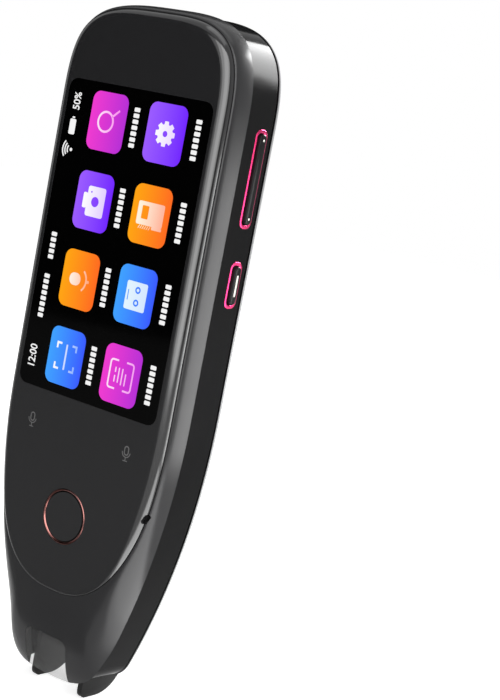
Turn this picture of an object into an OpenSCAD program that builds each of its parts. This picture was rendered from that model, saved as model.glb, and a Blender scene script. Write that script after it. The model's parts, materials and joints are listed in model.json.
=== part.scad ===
// Handheld translator pen with a scanning tip.
// The pen stands upright: +Z runs from the scanning tip to the top, the screen faces -Y,
// the keys are on the +X side and the charging port is on the -X side.
// The origin is in the middle of the body's depth, level with the home key, where a hand grips it.
// Depths are measured from the front face towards the back, and dep() turns one into a Y place.

/* [Body] */
// Width of the body at the grip
body_w = 47; // [44:0.5:54]
// Width of the body below its rounded top
top_w = 45.6; // [44.5:0.5:54]
// Depth of the body from the screen to the back
body_d = 19.5; // [18.6:0.1:24]
// Length of the housing without the scanning foot
body_len = 142; // [138:1:160]
// Height of the home key above the lower end of the housing
key_height = 35.7; // [33.5:0.5:38]
// Height at which the sides start to close in towards the tip
bend_z = 26.8; // [24:0.2:30]
// Width of the body where the rounded corners of the tip begin
tip_w = 25.28; // [25:0.02:28]
// Height of the rounded top
top_h = 22.6; // [18:0.2:26]
// Height of the rounded corners of the tip
tip_h = 5.5; // [4:0.1:7]

/* [Front] */
// Depth of the joint between the front housing and the side band
bezel_d = 4.3; // [4.1:0.1:4.6]
// Width of the bezel round the front panel
bezel_w = 2; // [1.7:0.1:2.4]
// Depth of the seam round the front panel at the sides
seam_d = 1.4; // [0.8:0.1:1.6]
// Depth of that seam at the panel's lower end
seam_low_d = 0.25; // [0.15:0.05:0.6]
// Thickness of the front panel
panel_t = 1.9; // [1.7:0.1:2.1]
// Width of the rounded edge of the front panel
panel_edge = 3; // [1.5:0.1:3.4]
// Lower end of the front panel below the home key
panel_low = 15.9; // [14:0.1:18.5]
// Gap round the front panel
panel_gap = 0.08; // [0.04:0.01:0.15]

/* [Screen] */
// Dark margin between the visible screen and the side of the body
screen_side = 3.35; // [3:0.05:5.5]
// Distance of the visible screen below the top of the body
screen_drop = 17.1; // [16.5:0.1:22]
// Height of the visible screen's lower end above the home key
screen_low = 24.4; // [24:0.1:32]
// Thickness of the display module
display_t = 2; // [1.5:0.1:2.2]

/* [Side band] */
// Depth of the joint between the side band and the back cover
cover_d = 14.2; // [14:0.1:14.6]
// Wall of the side band
band_wall = 1.6; // [1.3:0.1:1.8]
// Step from the bezel down to the side band
band_step = 0.3; // [0.15:0.05:0.45]
// Thickness of the deck that carries the display and the board
deck_t = 1; // [0.8:0.1:1.1]

/* [Back cover] */
// Wall of the back cover
cover_wall = 1.3; // [1.0:0.1:1.5]
// Share of the width that is flat across the back
flat_share = 0.42; // [0.36:0.02:0.5]
// Length of the rounded shoulder at the top of the back
top_shoulder = 13; // [10:0.5:14]
// Length of the slope at the lower end of the back
low_slope = 27.7; // [24:0.1:30]
// Radius of the rear camera's hole
camera_r = 5.5; // [5.2:0.1:5.8]
// Distance of the rear camera below the top of the body
camera_drop = 31.2; // [30:0.1:32]
// Radius of one sound hole
sound_r = 0.36; // [0.3:0.02:0.4]

/* [Keys] */
// Depth of the side keys' centre line
key_d = 11.7; // [11.6:0.1:11.9]
// Width of a side key's trim ring
trim_w = 3.4; // [3.2:0.1:3.6]
// Wall of a side key's trim ring
trim_wall = 0.5; // [0.4:0.05:0.6]
// Distance of the volume rocker's centre below the top of the body
rocker_drop = 30.3; // [29.5:0.1:31.5]
// Length of the volume rocker's trim ring
rocker_len = 20; // [18:0.2:21]
// Distance of the power button's centre below the top of the body
power_drop = 51.8; // [51:0.1:53]
// Length of the power button's trim ring
power_len = 9.6; // [8:0.2:10.4]
// Gap round a side key
key_gap = 0.12; // [0.08:0.01:0.16]
// How far a side key stands out of the side band
key_proud = 0.7; // [0.4:0.05:0.8]
// Outer radius of the ring round the home key
ring_r = 5.85; // [5.4:0.05:6]
// Width of the ring round the home key
ring_w = 0.65; // [0.5:0.05:0.8]
// Travel of the home key
home_travel = 0.35; // [0.2:0.05:0.4]

/* [Scanning tip] */
// Half width of the scanning foot
foot_w = 7.5; // [7:0.1:7.7]
// Wall of the scanning foot
foot_wall = 1.3; // [1:0.1:1.5]
// How far the foot stands out below the housing
foot_out = 2.9; // [2.4:0.1:4]
// Travel of the scanning foot
foot_travel = 1; // [0.6:0.1:1.2]
// Height of the foot's arch above the lower end of the housing
arch_h = 13; // [12.6:0.1:13.4]
// Radius of the foot's guide pins
guide_r = 0.8; // [0.6:0.05:0.9]
// Running clearance of the foot on its guide pins
guide_gap = 0.03; // [0.02:0.01:0.06]
// Half width of the nose window
window_w = 5.9; // [5:0.1:6.2]
// Height of the nose window above the lower end of the housing
window_h = 9.5; // [8:0.1:10]

/* [Battery] */
// Share of the body's width that the battery fills
battery_fill = 0.64; // [0.5:0.01:0.66]
// Share of the body's length that the battery fills
battery_reach = 0.324; // [0.25:0.002:0.36]
// Thickness of the battery
battery_t = 6; // [4:0.1:6.4]

/* [Hidden] */
$fn = 64;

// Ends of the body
z_tip = -key_height;
z_top = body_len - key_height;
z_shoulder = z_top - top_h;
z_corner = z_tip + tip_h;
camera_z = z_top - camera_drop;
rocker_z = z_top - rocker_drop;
power_z = z_top - power_drop;
taper_in = (body_w - tip_w) / 2;
taper_r = (pow(bend_z - z_corner, 2) + pow(taper_in, 2)) / (2 * taper_in);
top_power = 2.6;
tip_power = 3;
panel_power = 2.5;
fit = 0.01;

// Depths of the layers behind one another
deck_back_d = bezel_d + deck_t;
post_h = 1.3;
board_d = deck_back_d + post_h;
board_t = 1;
board_back_d = board_d + board_t;
pad_t = 0.4;
inner_step = band_step + band_wall;
board_inset = inner_step + 0.7;

// Places of the screws, as X and Z, and their sizes
nose_screw_z = z_tip + 22.2;
housing_screw_at = [[top_w / 2 - 7.8, z_top - 8.8], [body_w / 2 - 7, 10],
                    [side(nose_screw_z) - 6.7, nose_screw_z]];
low_screw_z = -3;
low_screw_x = side(low_screw_z) - 7.6;
board_screw_at = [[-top_w / 2 + 5.3, z_top - 18.3], [top_w / 2 - 7.3, z_top - 13.8], [-body_w / 2 + 6, 14],
                  [low_screw_x, low_screw_z], [-low_screw_x, low_screw_z]];
housing_screw_r = 0.8;
housing_screw_head_r = 1.5;
housing_screw_bite = 1.7;
board_screw_r = 0.7;
board_screw_head_r = 1.3;
board_screw_bite = 1;
screw_head_t = 0.8;
boss_r = 1.6;

// Display
display_border = 0.75;
display_x = top_w / 2 - screen_side + display_border;
display_low = screen_low - 2.9;
display_high = z_top - screen_drop + 1.7;
display_gap = 0.15;
flex_w = 12;
flex_t = 0.2;
flex_z = display_low - 2.6;
flex_d = panel_t + display_t - 2 * flex_t;

// Home key
key_cap_r = ring_r - ring_w - 0.07;
key_flange_r = ring_r + 0.3;
key_flange_d = panel_t + home_travel * 0.15 + 0.25;
key_flange_t = 0.6;
key_stem_r = 2;
key_stem_d = board_d - 1.4;
home_switch_t = board_d - key_stem_d - home_travel - 0.05;
home_sink = 0.05;

// Side keys
key_flange = 0.6;
flange_gap = 0.4;
rocker_tilt = 0.9;
power_travel = 0.3;
switch_gap = 0.05;
lever_r = 0.5;
lever_lug = 1.4;
lever_in = 1.2;
nub_r = 0.8;
nub_z = 6.5;
key_board_gap = 4.4;
key_board_x = side_x(rocker_z) - band_wall - key_board_gap;
key_board_t = 0.8;
key_board_under = 4.8;
key_board_over = 11;
key_board_back_d = key_d + 2;
switch_t = 1;
dome_t = 0.35;
dome_r = 0.9;

// Scanning foot and what surrounds it
foot_top = z_tip + arch_h;
foot_low = z_tip - foot_out;
foot_r = 3.2;
foot_front_d = bezel_d + 2.7;
foot_back_d = cover_d + 5;
toe_deep = 1.4;
toe_high = 1.6;
heel_deep = 7.8;
heel_high = 7.2;
ear_x = foot_w + 3.6;
ear_t = 1.5;
ear_half = 1.4;
ear_root = 0.3;
ear_low = z_tip + 7.9;
guide_x = foot_w + 2.2;
guide_d = 11;
lug_gap = 0.05;
lug_t = 2.2;
lug_low_z = ear_low - lug_gap - lug_t;
lug_high_z = z_tip + 20.3;
lug_half = 1.6;
lug_bite = 0.9;
lug_clear = 0.9;
foot_gap = 0.6;
cut_gap = 0.6;
cut_flare = 1.4;
spring_wire = 0.18;
spring_r = 1.35;
spring_turns = 9;
spring_gap = 0.05;

// Scanning camera above the foot
lamp_low = foot_top + foot_travel + 0.9;
lamp_t = 0.7;
lamp_board_t = 0.8;
lamp_board_half = 5.8;
lamp_board_deep = 2.9;
lamp_x = 4;
lamp_board_low = lamp_low + lamp_t;
scan_low = lamp_board_low + lamp_board_t;
scan_half = 4;
scan_h = 7;
scan_front_d = deck_back_d + 1.7;
scan_back_d = scan_front_d + 7;
scan_axis_d = scan_front_d + 4;
scan_board_half = 7;
scan_board_t = 0.8;
scan_board_h = 13;
scan_lens_r = 2.4;
scan_lens_low = foot_top + foot_travel + 0.5;
scan_slot_half = 4.9;
scan_slot_deep = 2.5;
plunger_half = 0.5;
post_half = 0.6;
post_sink = 2.2;
post_clear = 0.3;
plunger_x = lamp_board_half + post_clear + post_half;
post_top = foot_top + 3.1;
plunger_gap = 0.1;
plunger_d = foot_front_d + post_half;
tip_switch_low = post_top + plunger_gap + 2;
tip_switch_h = 3.3;
tip_switch_well = 2.2;
deck_low = scan_low - 0.2;

// Charging port
port_z = 30.4;
port_d = board_back_d + 2;
port_w = 8.94;
port_h = 3.2;
port_wall = 0.3;
port_len = 7;
recess_w = 12.1;
recess_flat_d = port_d + 2.6;
recess_arch_d = port_d - 2.6;
recess_deep = 0.9;
port_x = side_x(port_z) - recess_deep;

// Rear camera and speaker
camera_back_d = body_d - 0.15;
camera_glass_t = 0.9;
camera_ring_w = 0.45;
camera_lens_r = 2.05;
camera_barrel_r = 3.2;
camera_barrel_d = board_back_d + 5.4;
camera_block = 9;
ledge_r = camera_r + 1.1;
ledge_t = 0.9;
baffle_t = 0.5;
baffle_d = camera_back_d - camera_glass_t - baffle_t;
sound_rows = [9.8, 11.3, 12.8];
sound_step = 9.67;
speaker_w = 18;
speaker_h = 11;
speaker_t = 5;
speaker_z = camera_z + 11.2;
mesh_t = 0.3;
mesh_w = 15.2;
mesh_low = camera_z + ledge_r + 0.3;
mesh_h = 7.2;
mesh_back_d = body_d - cover_wall;
gasket_t = 1.7;
gasket_wall = 0.9;
speaker_back_d = mesh_back_d - mesh_t - gasket_t;

// Battery and the parts near it
battery_w = body_w * battery_fill;
battery_len = body_len * battery_reach;
shell_gap = 0.8;
battery_x = port_len - port_x + shell_gap;
battery_z = 3;
battery_end = battery_z + battery_len;
battery_d = board_back_d + pad_t;
pad_border = 3;
plug_gap = 1.6;
plug_x = -8;
plug_w = 5;
plug_t = 1.7;
plug_h = 1.4;
plug_z = battery_end + plug_gap;
lead_r = 0.4;
lead_step = 1.2;

// The screening can fills the room between the battery's plug and the camera
camera_low = camera_z - camera_block / 2;
can_half = 13;
can_t = 2;
can_wall = 0.2;
can_low = plug_z + plug_h + 0.5;
can_high = camera_low - (camera_low - battery_end) * 0.19;
chip_in = (can_high - can_low) / 7;
processor_x = -11;
processor_w = 10;
processor_t = 1.1;
memory_x = 2;
memory_w = 9;
memory_t = 0.9;
antenna_x = -11;
antenna_w = 20;
antenna_t = 2.4;

// Clips that hold the back cover
clip_at = [-8, 20, power_z - 12.5, z_top - 14.3];
clip_len = 4;
clip_out = 0.4;
skirt_deep = 1.5;
skirt_wall = 1;
skirt_gap = 0.1;
cover_step = 0.1;
groove_w = 0.3;
groove_deep = 0.4;
mic_z = 4.8;
mic_hole_r = 0.45;
mic_in = 1.6;
mic_half_w = 1.2;
mic_half_h = 1.4;
mic_t = 1;

// Y place of a depth behind the front face
function dep(d) = d - body_d / 2;

// Half width of the body below its rounded top, at height z
function side(z) = z > bend_z
    ? body_w / 2 + (top_w - body_w) / 2 * (z - bend_z) / (z_shoulder - bend_z)
    : body_w / 2 - taper_r + sqrt(pow(taper_r, 2) - pow(bend_z - z, 2));

// Half width of the side band's outer face at height z
function side_x(z) = side(z) - band_step;

// Half width of the body at height z, in its rounded top too
function body_x(z) = z < z_shoulder
    ? side(z)
    : top_w / 2 * pow(1 - pow((z - z_shoulder) / top_h, top_power), 1 / top_power);

// Right half of the outline, from the middle of the tip to the middle of the top
tip_n = 7;
side_n = 9;
top_n = 12;
half_edge = concat(
    [for (k = [0 : tip_n - 1])
        let (a = 90 * k / tip_n, z = z_corner - tip_h * pow(cos(a), 2 / tip_power))
        [side(z) * pow(sin(a), 2 / tip_power), z]],
    [for (k = [0 : side_n])
        let (z = z_corner + (bend_z - z_corner) * k / side_n)
        [side(z), z]],
    [for (k = [0 : top_n])
        let (a = 90 * k / top_n)
        [top_w / 2 * pow(cos(a), 2 / top_power), z_shoulder + top_h * pow(sin(a), 2 / top_power)]]
);
half_n = len(half_edge);
function mirrored(half) = concat(half, [for (k = [half_n - 2 : -1 : 1]) [-half[k].x, half[k].y]]);
edge = mirrored(half_edge);
edge_n = len(edge);

// A closed outline moved inwards by a distance, which may differ from point to point
function normal(path, k) =
    let (n = len(path), t = path[(k + 1) % n] - path[(k + n - 1) % n])
    [t.y, -t.x] / norm(t);
function inset(path, by) = [for (k = [0 : len(path) - 1]) path[k] - by * normal(path, k)];
function inset_each(path, by) = [for (k = [0 : len(path) - 1]) path[k] - by[k] * normal(path, k)];

// Outline of the front panel: inside the bezel above, and closing in a long curve below
bezel_edge = inset(edge, bezel_w);
panel_half_w = side(bend_z) - bezel_w;
panel_drop = bend_z + panel_low;
function panel_point(p) =
    let (a = atan2(p.x, bend_z - p.y),
         r = pow(pow(abs(sin(a)) / panel_half_w, panel_power) + pow(cos(a) / panel_drop, panel_power),
                 -1 / panel_power))
    [r * sin(a), bend_z - r * cos(a)];
panel_path = [for (k = [0 : edge_n - 1]) edge[k].y < bend_z - 0.01 ? panel_point(edge[k]) : bezel_edge[k]];

// Depth of the panel's seam: it rises towards the surface at the panel's lower end
seam_span = 24;
function ease(t) = let (c = min(max(t, 0), 1)) c * c * (3 - 2 * c);
function seam_at(z) = seam_low_d + (seam_d - seam_low_d) * ease((z + panel_low) / seam_span);

// Solid with one closed ring of points after another, from the back to the front
module skin(rings) {
    n = len(rings[0]);
    m = len(rings);
    points = [for (r = rings) each r];
    sides = [for (j = [0 : m - 2], k = [0 : n - 1])
        let (a = j * n + k, b = j * n + (k + 1) % n)
        each [[a, b + n, b], [a, a + n, b + n]]];
    first = [for (k = [0 : n - 1]) k];
    last = [for (k = [n - 1 : -1 : 0]) (m - 1) * n + k];
    polyhedron(points, concat([first], sides, [last]));
}

// A flat shape in the X-Z plane, as thick as from depth d0 to depth d1
module layer(d0, d1) {
    translate([0, dep(d1), 0]) rotate([90, 0, 0]) linear_extrude(d1 - d0) children();
}

// A box between two corners given as X, depth and Z
module block(low, high) {
    translate([low.x, dep(low.y), low.z]) cube(high - low);
}

// A round pin or hole along Y, at an X and Z place
module rod(at, r, d0, d1) {
    translate([at.x, dep(d1), at.y]) rotate([90, 0, 0]) cylinder(r = r, h = d1 - d0);
}

module outline(by) { polygon(inset(edge, by)); }

// Round-ended bar, centred, with its length along Y
module bar(w, len) {
    square([w, len - w], center = true);
    for (s = [-1, 1]) translate([0, s * (len - w) / 2]) circle(d = w);
}

// Rounded rectangle, centred
module tablet(w, h, r) {
    square([w - 2 * r, h], center = true);
    square([w, h - 2 * r], center = true);
    for (x = [-1, 1], y = [-1, 1]) translate([x * (w / 2 - r), y * (h / 2 - r)]) circle(r);
}

// A side key's shape pushed out along X from x0 to x1, at a height
module side_shape(z, x0, x1) {
    translate([x0, dep(key_d), z]) rotate([90, 0, 90]) linear_extrude(x1 - x0) children();
}

// ---- Outer forms -------------------------------------------------------

// The bezel and nose: a rounded surface from the side band up to the panel's seam, and the panel's pocket
nose_steps = 6;
pocket_path = inset(panel_path, -panel_gap);
module front_form() {
    skin(concat(
        [for (j = [0 : nose_steps])
            let (a = 90 * j / nose_steps)
            [for (k = [0 : edge_n - 1])
                let (p = edge[k] + (pocket_path[k] - edge[k]) * (1 - cos(a)))
                [p.x, dep(bezel_d - (bezel_d - seam_at(panel_path[k].y)) * sin(a)), p.y]]],
        [[for (p = pocket_path) [p.x, dep(panel_t), p.y]]]));
}

// Hollow behind the nose, one wall inside the rounded surface
module nose_hollow() {
    outer = inset(edge, cover_wall);
    inner = inset(panel_path, cover_wall);
    low = seam_low_d + cover_wall;
    intersection() {
        skin([for (j = [0 : nose_steps])
            let (a = 90 * j / nose_steps)
            [for (k = [0 : edge_n - 1])
                let (p = outer[k] + (inner[k] - outer[k]) * (1 - cos(a)))
                [p.x, dep(bezel_d + 1 - (bezel_d + 1 - low) * sin(a)), p.y]]]);
        block([-body_w, 0, z_tip - 1], [body_w, bezel_d + 2, deck_low]);
    }
}

// The crowned back: round shoulders and a flat middle
back_steps = 7;
flat_mid = 30;
function flat_point(p) =
    [p.x * flat_share,
     p.y > flat_mid
        ? flat_mid + (p.y - flat_mid) * (z_top - top_shoulder - flat_mid) / (z_top - flat_mid)
        : flat_mid + (p.y - flat_mid) * (flat_mid - z_tip - low_slope) / (flat_mid - z_tip)];
module back_form(by, wall) {
    outer = inset(edge, by);
    skin([for (j = [back_steps : -1 : (wall > 0 ? -1 : 0)])
        let (a = 90 * max(j, 0) / back_steps)
        [for (k = [0 : edge_n - 1])
            let (p = outer[k] + (flat_point(edge[k]) - outer[k]) * (1 - cos(a)))
            [p.x, dep(cover_d + (body_d - wall - cover_d) * sin(a) - (j < 0 ? 1 : 0)), p.y]]]);
}

// Arch with an open lower end: half width, top, corner radius, lower end and flare of the legs
function arch(w, top, r, low, flare = 0) = concat(
    [[w + flare, low]],
    [for (a = [0 : 10 : 90]) [w - r + r * cos(a), top - r + r * sin(a)]],
    [for (a = [90 : 10 : 180]) [-w + r + r * cos(a), top - r + r * sin(a)]],
    [[-w - flare, low]]
);

// ---- Casing ------------------------------------------------------------

module window_shape(gap) {
    polygon(arch(window_w + gap, z_tip + window_h + gap, 1.6, z_tip - 2));
}

module front_housing() {
    color("#2e2e2e") difference() {
        front_form();
        block([-display_x - display_gap, 0, display_low - display_gap],
              [display_x + display_gap, bezel_d + 1, display_high + display_gap]);
        block([-flex_w / 2 - 0.3, panel_t + display_t - 0.7, flex_z - 0.6],
              [flex_w / 2 + 0.3, bezel_d + 1, display_low]);
        nose_hollow();
        layer(-1, bezel_d + 1) window_shape(0.05);
        rod([0, 0], key_flange_r + 0.25, -2, bezel_d + 1);
        for (p = housing_screw_at, s = [-1, 1])
            rod([s * p.x, p.y], housing_screw_r + fit, bezel_d - housing_screw_bite, bezel_d + 1);
        for (s = [-1, 1]) rod([s * mic_x(), mic_z], mic_hole_r, panel_t - 1, bezel_d + 1);
    }
}

function mic_x() = panel_point([side(mic_z), mic_z]).x - 0.25;

module nose_window() {
    color("#c6c6c6", 0.35) difference() {
        intersection() {
            front_form();
            layer(-1, bezel_d + 1) window_shape(0);
        }
        nose_hollow();
    }
}

panel_steps = 4;
module front_panel() {
    rounding = [for (k = [0 : edge_n - 1])
        panel_edge * (0.27 + 0.73 * ease((panel_path[k].y + panel_low) / seam_span))];
    color("#262626") difference() {
        union() {
            skin(concat(
                [[for (p = panel_path) [p.x, dep(panel_t), p.y]]],
                [for (j = [0 : panel_steps])
                    let (a = 90 * j / panel_steps,
                         ring = inset_each(panel_path, rounding * (1 - cos(a))))
                    [for (k = [0 : edge_n - 1])
                        [ring[k].x, dep(seam_at(panel_path[k].y) * (1 - sin(a))), ring[k].y]]]));
        }
        rod([0, 0], ring_r + fit, -1, panel_t + 1);
        for (s = [-1, 1]) rod([s * (mic_x() + 0.1), mic_z], mic_hole_r, -1, panel_t + 1);
    }
}

// Recess and opening of the charging port, cut into the side band
module port_cut() {
    half = recess_w / 2;
    shape = concat(
        [[recess_flat_d, half], [recess_flat_d, -half], [recess_flat_d - 1.2, -half]],
        [for (a = [-50 : 10 : 50])
            [port_d - (port_d - recess_arch_d) * cos(a * 1.1), half * 0.92 * sin(a) / sin(50)]],
        [[recess_flat_d - 1.2, half]]);
    translate([-port_x - 3, 0, port_z]) rotate([90, 0, 90]) linear_extrude(3)
        polygon([for (p = shape) [dep(p.x), p.y]]);
    translate([-port_x - 1, dep(port_d), port_z]) rotate([90, 0, 90])
        linear_extrude(band_wall + 2) bar(port_h + 0.1, port_w + 0.1);
}

module side_key_cut(z, len) {
    side_shape(z, side_x(z) - band_wall - 1, side_x(z) + 1) tablet(trim_w + 2 * fit, len + 2 * fit, 1.5);
}

// Cheeks that hold the rocker's pin
module rocker_cheeks() {
    x = side_x(rocker_z) - band_wall;
    for (d = [key_d - trim_w / 2 - 0.55, key_d + trim_w / 2 + 0.05]) difference() {
        block([x - lever_in - 0.9, d, rocker_z - lever_lug], [x + 0.4, d + 0.5, rocker_z + lever_lug]);
        rod([x - lever_in, rocker_z], lever_r + fit, d - 1, d + 2);
    }
}

// Lugs for the foot's guide pins
module guide_lugs() {
    for (s = [-1, 1], z = [lug_low_z, lug_high_z]) {
        wall_x = side_x(z) - band_wall + lug_bite;
        low_x = foot_w + lug_clear;
        difference() {
            block([s > 0 ? low_x : -wall_x, guide_d - lug_half, z],
                  [s > 0 ? wall_x : -low_x, guide_d + lug_half, z + lug_t]);
            translate([s * guide_x, dep(guide_d), z - 1]) cylinder(r = guide_r + fit, h = lug_t + 2);
        }
    }
}

module clip_row(grow) {
    for (z = clip_at, s = [-1, 1]) {
        x = body_x(z) - inner_step - skirt_gap;
        out = clip_out + grow / 2;
        block([s > 0 ? x - 0.5 : -x - out, cover_d - 1.3 - grow / 2, z - clip_len / 2 - grow],
              [s > 0 ? x + out : -x + 0.5, cover_d - 0.7 + grow / 2, z + clip_len / 2 + grow]);
    }
}

module mid_frame() {
    color("#242424") union() {
        difference() {
            layer(bezel_d, cover_d) difference() {
                outline(band_step);
                outline(inner_step);
            }
            layer(cover_d - groove_w, cover_d + 1) difference() {
                outline(-1);
                outline(band_step + groove_deep);
            }
            block([-foot_w - foot_gap, bezel_d - 1, z_tip - 1],
                  [foot_w + foot_gap, cover_d + 1, foot_top]);
            side_key_cut(rocker_z, rocker_len);
            side_key_cut(power_z, power_len);
            port_cut();
            clip_row(0.2);
        }
        difference() {
            intersection() {
                layer(bezel_d, deck_back_d) outline(inner_step - 0.3);
                block([-body_w, 0, deck_low], [body_w, body_d, z_top]);
            }
            rod([0, 0], key_stem_r + 0.6, 0, body_d);
            block([-flex_w / 2 - 0.6, 0, flex_z - 0.9], [flex_w / 2 + 0.6, body_d, flex_z + 1]);
            for (p = housing_screw_at, s = [-1, 1])
                rod([s * p.x, p.y], housing_screw_r + 0.1, 0, body_d);
            for (s = [-1, 1]) rod([s * mic_x(), mic_z], mic_hole_r, 0, body_d);
            for (p = board_screw_at) rod(p, board_screw_r + fit, board_d - board_screw_bite - 0.6, body_d);
        }
        for (p = board_screw_at) difference() {
            rod(p, boss_r, deck_back_d - 0.2, board_d);
            rod(p, board_screw_r + fit, board_d - board_screw_bite - 0.6, body_d);
        }
        block([-scan_half, deck_back_d - 0.2, scan_low], [scan_half, scan_front_d, scan_low + scan_h]);
        rocker_cheeks();
        guide_lugs();
    }
}

module back_cover() {
    color("#6f6f70") difference() {
        union() {
            difference() {
                back_form(cover_step, 0);
                back_form(cover_wall, cover_wall);
            }
            layer(cover_d, cover_d + 0.9) difference() {
                outline(cover_step + 0.4);
                outline(inner_step + skirt_gap + skirt_wall);
            }
            difference() {
                layer(cover_d - skirt_deep, cover_d + 0.5) difference() {
                    outline(inner_step + skirt_gap);
                    outline(inner_step + skirt_gap + skirt_wall);
                }
                block([key_board_x, 0, power_z - power_len / 2 - 1],
                      [body_w, cover_d, rocker_z + rocker_len / 2 + 1]);
            }
            clip_row(0);
            rod([0, camera_z], ledge_r, baffle_d - ledge_t, body_d - 0.5);
        }
        rod([0, camera_z], camera_r + fit, baffle_d, body_d + 1);
        rod([0, camera_z], camera_r - 1.1, baffle_d - 2, body_d + 1);
        for (r = sound_rows, k = [-3 : 3])
            rod([r * sin(k * sound_step), camera_z + r * cos(k * sound_step)], sound_r, cover_d, body_d + 1);
        layer(cover_d - 3, body_d + 1)
            polygon(arch(foot_w + cut_gap, foot_top + foot_travel + 1, foot_r + 1.2, z_tip - 2, cut_flare));
    }
}

// ---- Display -----------------------------------------------------------

module display_module() {
    color("#0a0a0a") block([-display_x, panel_t, display_low], [display_x, panel_t + display_t, display_high]);
}

module display_pad() {
    color("#3b3b3b") difference() {
        block([-display_x, panel_t + display_t, display_low], [display_x, bezel_d, display_high]);
        block([-display_x + 3, 0, display_low + 3], [display_x - 3, body_d, display_high - 3]);
    }
}

// Ribbon from the display's lower edge through the deck to the board
module display_flex() {
    color("#b8742a") union() {
        block([-flex_w / 2, flex_d, flex_z], [flex_w / 2, flex_d + flex_t, display_low]);
        block([-flex_w / 2, flex_d, flex_z - flex_t], [flex_w / 2, board_d, flex_z]);
    }
}

// ---- Rear camera and speaker -------------------------------------------

module camera_ring() {
    color("#7a1020") difference() {
        rod([0, camera_z], camera_r, baffle_d, camera_back_d + 0.1);
        rod([0, camera_z], camera_r - camera_ring_w, 0, body_d + 1);
    }
}

module camera_window() {
    color("#101014", 0.7)
        rod([0, camera_z], camera_r - camera_ring_w - fit, camera_back_d - camera_glass_t, camera_back_d);
}

module camera_baffle() {
    color("#0c0c0c") difference() {
        rod([0, camera_z], camera_r - camera_ring_w - fit, baffle_d, baffle_d + baffle_t);
        rod([0, camera_z], camera_lens_r + 0.25, 0, body_d);
    }
}

module camera_lens() {
    color("#27305a") rod([0, camera_z], camera_lens_r, baffle_d - 0.3, baffle_d + 0.2);
}

module camera_module() {
    half = camera_block / 2;
    color("#171717") union() {
        block([-half, board_back_d, camera_z - half], [half, camera_barrel_d, camera_z + half]);
        rod([0, camera_z], camera_barrel_r, camera_barrel_d, baffle_d - 0.3);
    }
}

module speaker_mesh() {
    color("#181818") layer(mesh_back_d - mesh_t, mesh_back_d)
        translate([0, mesh_low + mesh_h / 2]) tablet(mesh_w, mesh_h, 2);
}

module speaker_gasket() {
    color("#2b2b2b") layer(speaker_back_d, mesh_back_d - mesh_t)
        translate([0, mesh_low + mesh_h / 2]) difference() {
            tablet(mesh_w, mesh_h, 2);
            tablet(mesh_w - 2 * gasket_wall, mesh_h - 2 * gasket_wall, 1.2);
        }
}

module speaker() {
    color("#1b1b1b") layer(speaker_back_d - speaker_t, speaker_back_d)
        translate([0, speaker_z]) tablet(speaker_w, speaker_h, 1.5);
}

// ---- Charging port -----------------------------------------------------

module usb_shell() {
    color("#b9bcc0") union() {
        translate([-port_x, dep(port_d), port_z]) rotate([90, 0, 90]) difference() {
            linear_extrude(port_len) bar(port_h, port_w);
            translate([0, 0, -1]) linear_extrude(port_len) bar(port_h - 2 * port_wall, port_w - 2 * port_wall);
        }
        block([-port_x + 2.5, board_back_d, port_z - 3],
              [-port_x + port_len, port_d - port_h / 2 + 0.1, port_z + 3]);
    }
}

module usb_tongue() {
    color("#111111") block([-port_x + 1, port_d - 0.35, port_z - 3.3],
                           [-port_x + port_len - 1, port_d + 0.35, port_z + 3.3]);
}

// ---- Boards and what is on them ----------------------------------------

module main_board() {
    color("#14563a") difference() {
        intersection() {
            layer(board_d, board_back_d) outline(board_inset);
            block([-body_w, 0, -6], [body_w, body_d, z_top]);
        }
        for (p = board_screw_at) rod(p, board_screw_r + 0.1, 0, body_d);
    }
}

module processor() {
    color("#1a1a1c") block([processor_x, board_back_d, can_low + chip_in],
                           [processor_x + processor_w, board_back_d + processor_t, can_high - chip_in]);
}

module memory_chip() {
    color("#222226") block([memory_x, board_back_d, can_low + chip_in],
                           [memory_x + memory_w, board_back_d + memory_t, can_high - chip_in]);
}

module shield_can() {
    color("#c3c6c9") difference() {
        block([-can_half, board_back_d, can_low], [can_half, board_back_d + can_t, can_high]);
        block([-can_half + can_wall, board_back_d - 1, can_low + can_wall],
              [can_half - can_wall, board_back_d + can_t - can_wall, can_high - can_wall]);
    }
}

module antenna() {
    color("#caa45a") block([antenna_x, board_back_d, z_top - 9.3],
                           [antenna_x + antenna_w, board_back_d + antenna_t, z_top - 5.8]);
}

module battery() {
    color("#8a8f96") layer(battery_d, battery_d + battery_t)
        translate([battery_x + battery_w / 2, battery_z + battery_len / 2]) tablet(battery_w, battery_len, 1);
}

module battery_pad() {
    color("#e4e4e0") block([battery_x + pad_border, board_back_d, battery_z + pad_border],
                           [battery_x + battery_w - pad_border, battery_d, battery_end - pad_border]);
}

module battery_lead() {
    color("#b02020") for (s = [-1, 1])
        translate([plug_x + s * lead_step / 2, dep(board_back_d + 1), battery_end])
            cylinder(r = lead_r, h = plug_gap);
}

module battery_plug() {
    color("#ece8dc") block([plug_x - plug_w / 2, board_back_d, plug_z],
                           [plug_x + plug_w / 2, board_back_d + plug_t, plug_z + plug_h]);
}

module key_board() {
    color("#14563a") block([key_board_x, board_back_d, power_z - key_board_under],
                           [key_board_x + key_board_t, key_board_back_d, rocker_z + key_board_over]);
}

// Push switch on the key board, at a height
module push_switch(z) {
    x = key_board_x + key_board_t;
    block([x, key_d - 1.5, z - 1.5], [x + switch_t, key_d + 1.5, z + 1.5]);
    translate([x + switch_t, dep(key_d), z]) rotate([0, 90, 0]) cylinder(r = dome_r, h = dome_t);
}

module volume_switches() {
    color("#d0d0cc") for (s = [-1, 1]) push_switch(rocker_z + s * nub_z);
}

module power_switch() {
    color("#d0d0cc") push_switch(power_z);
}

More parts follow.
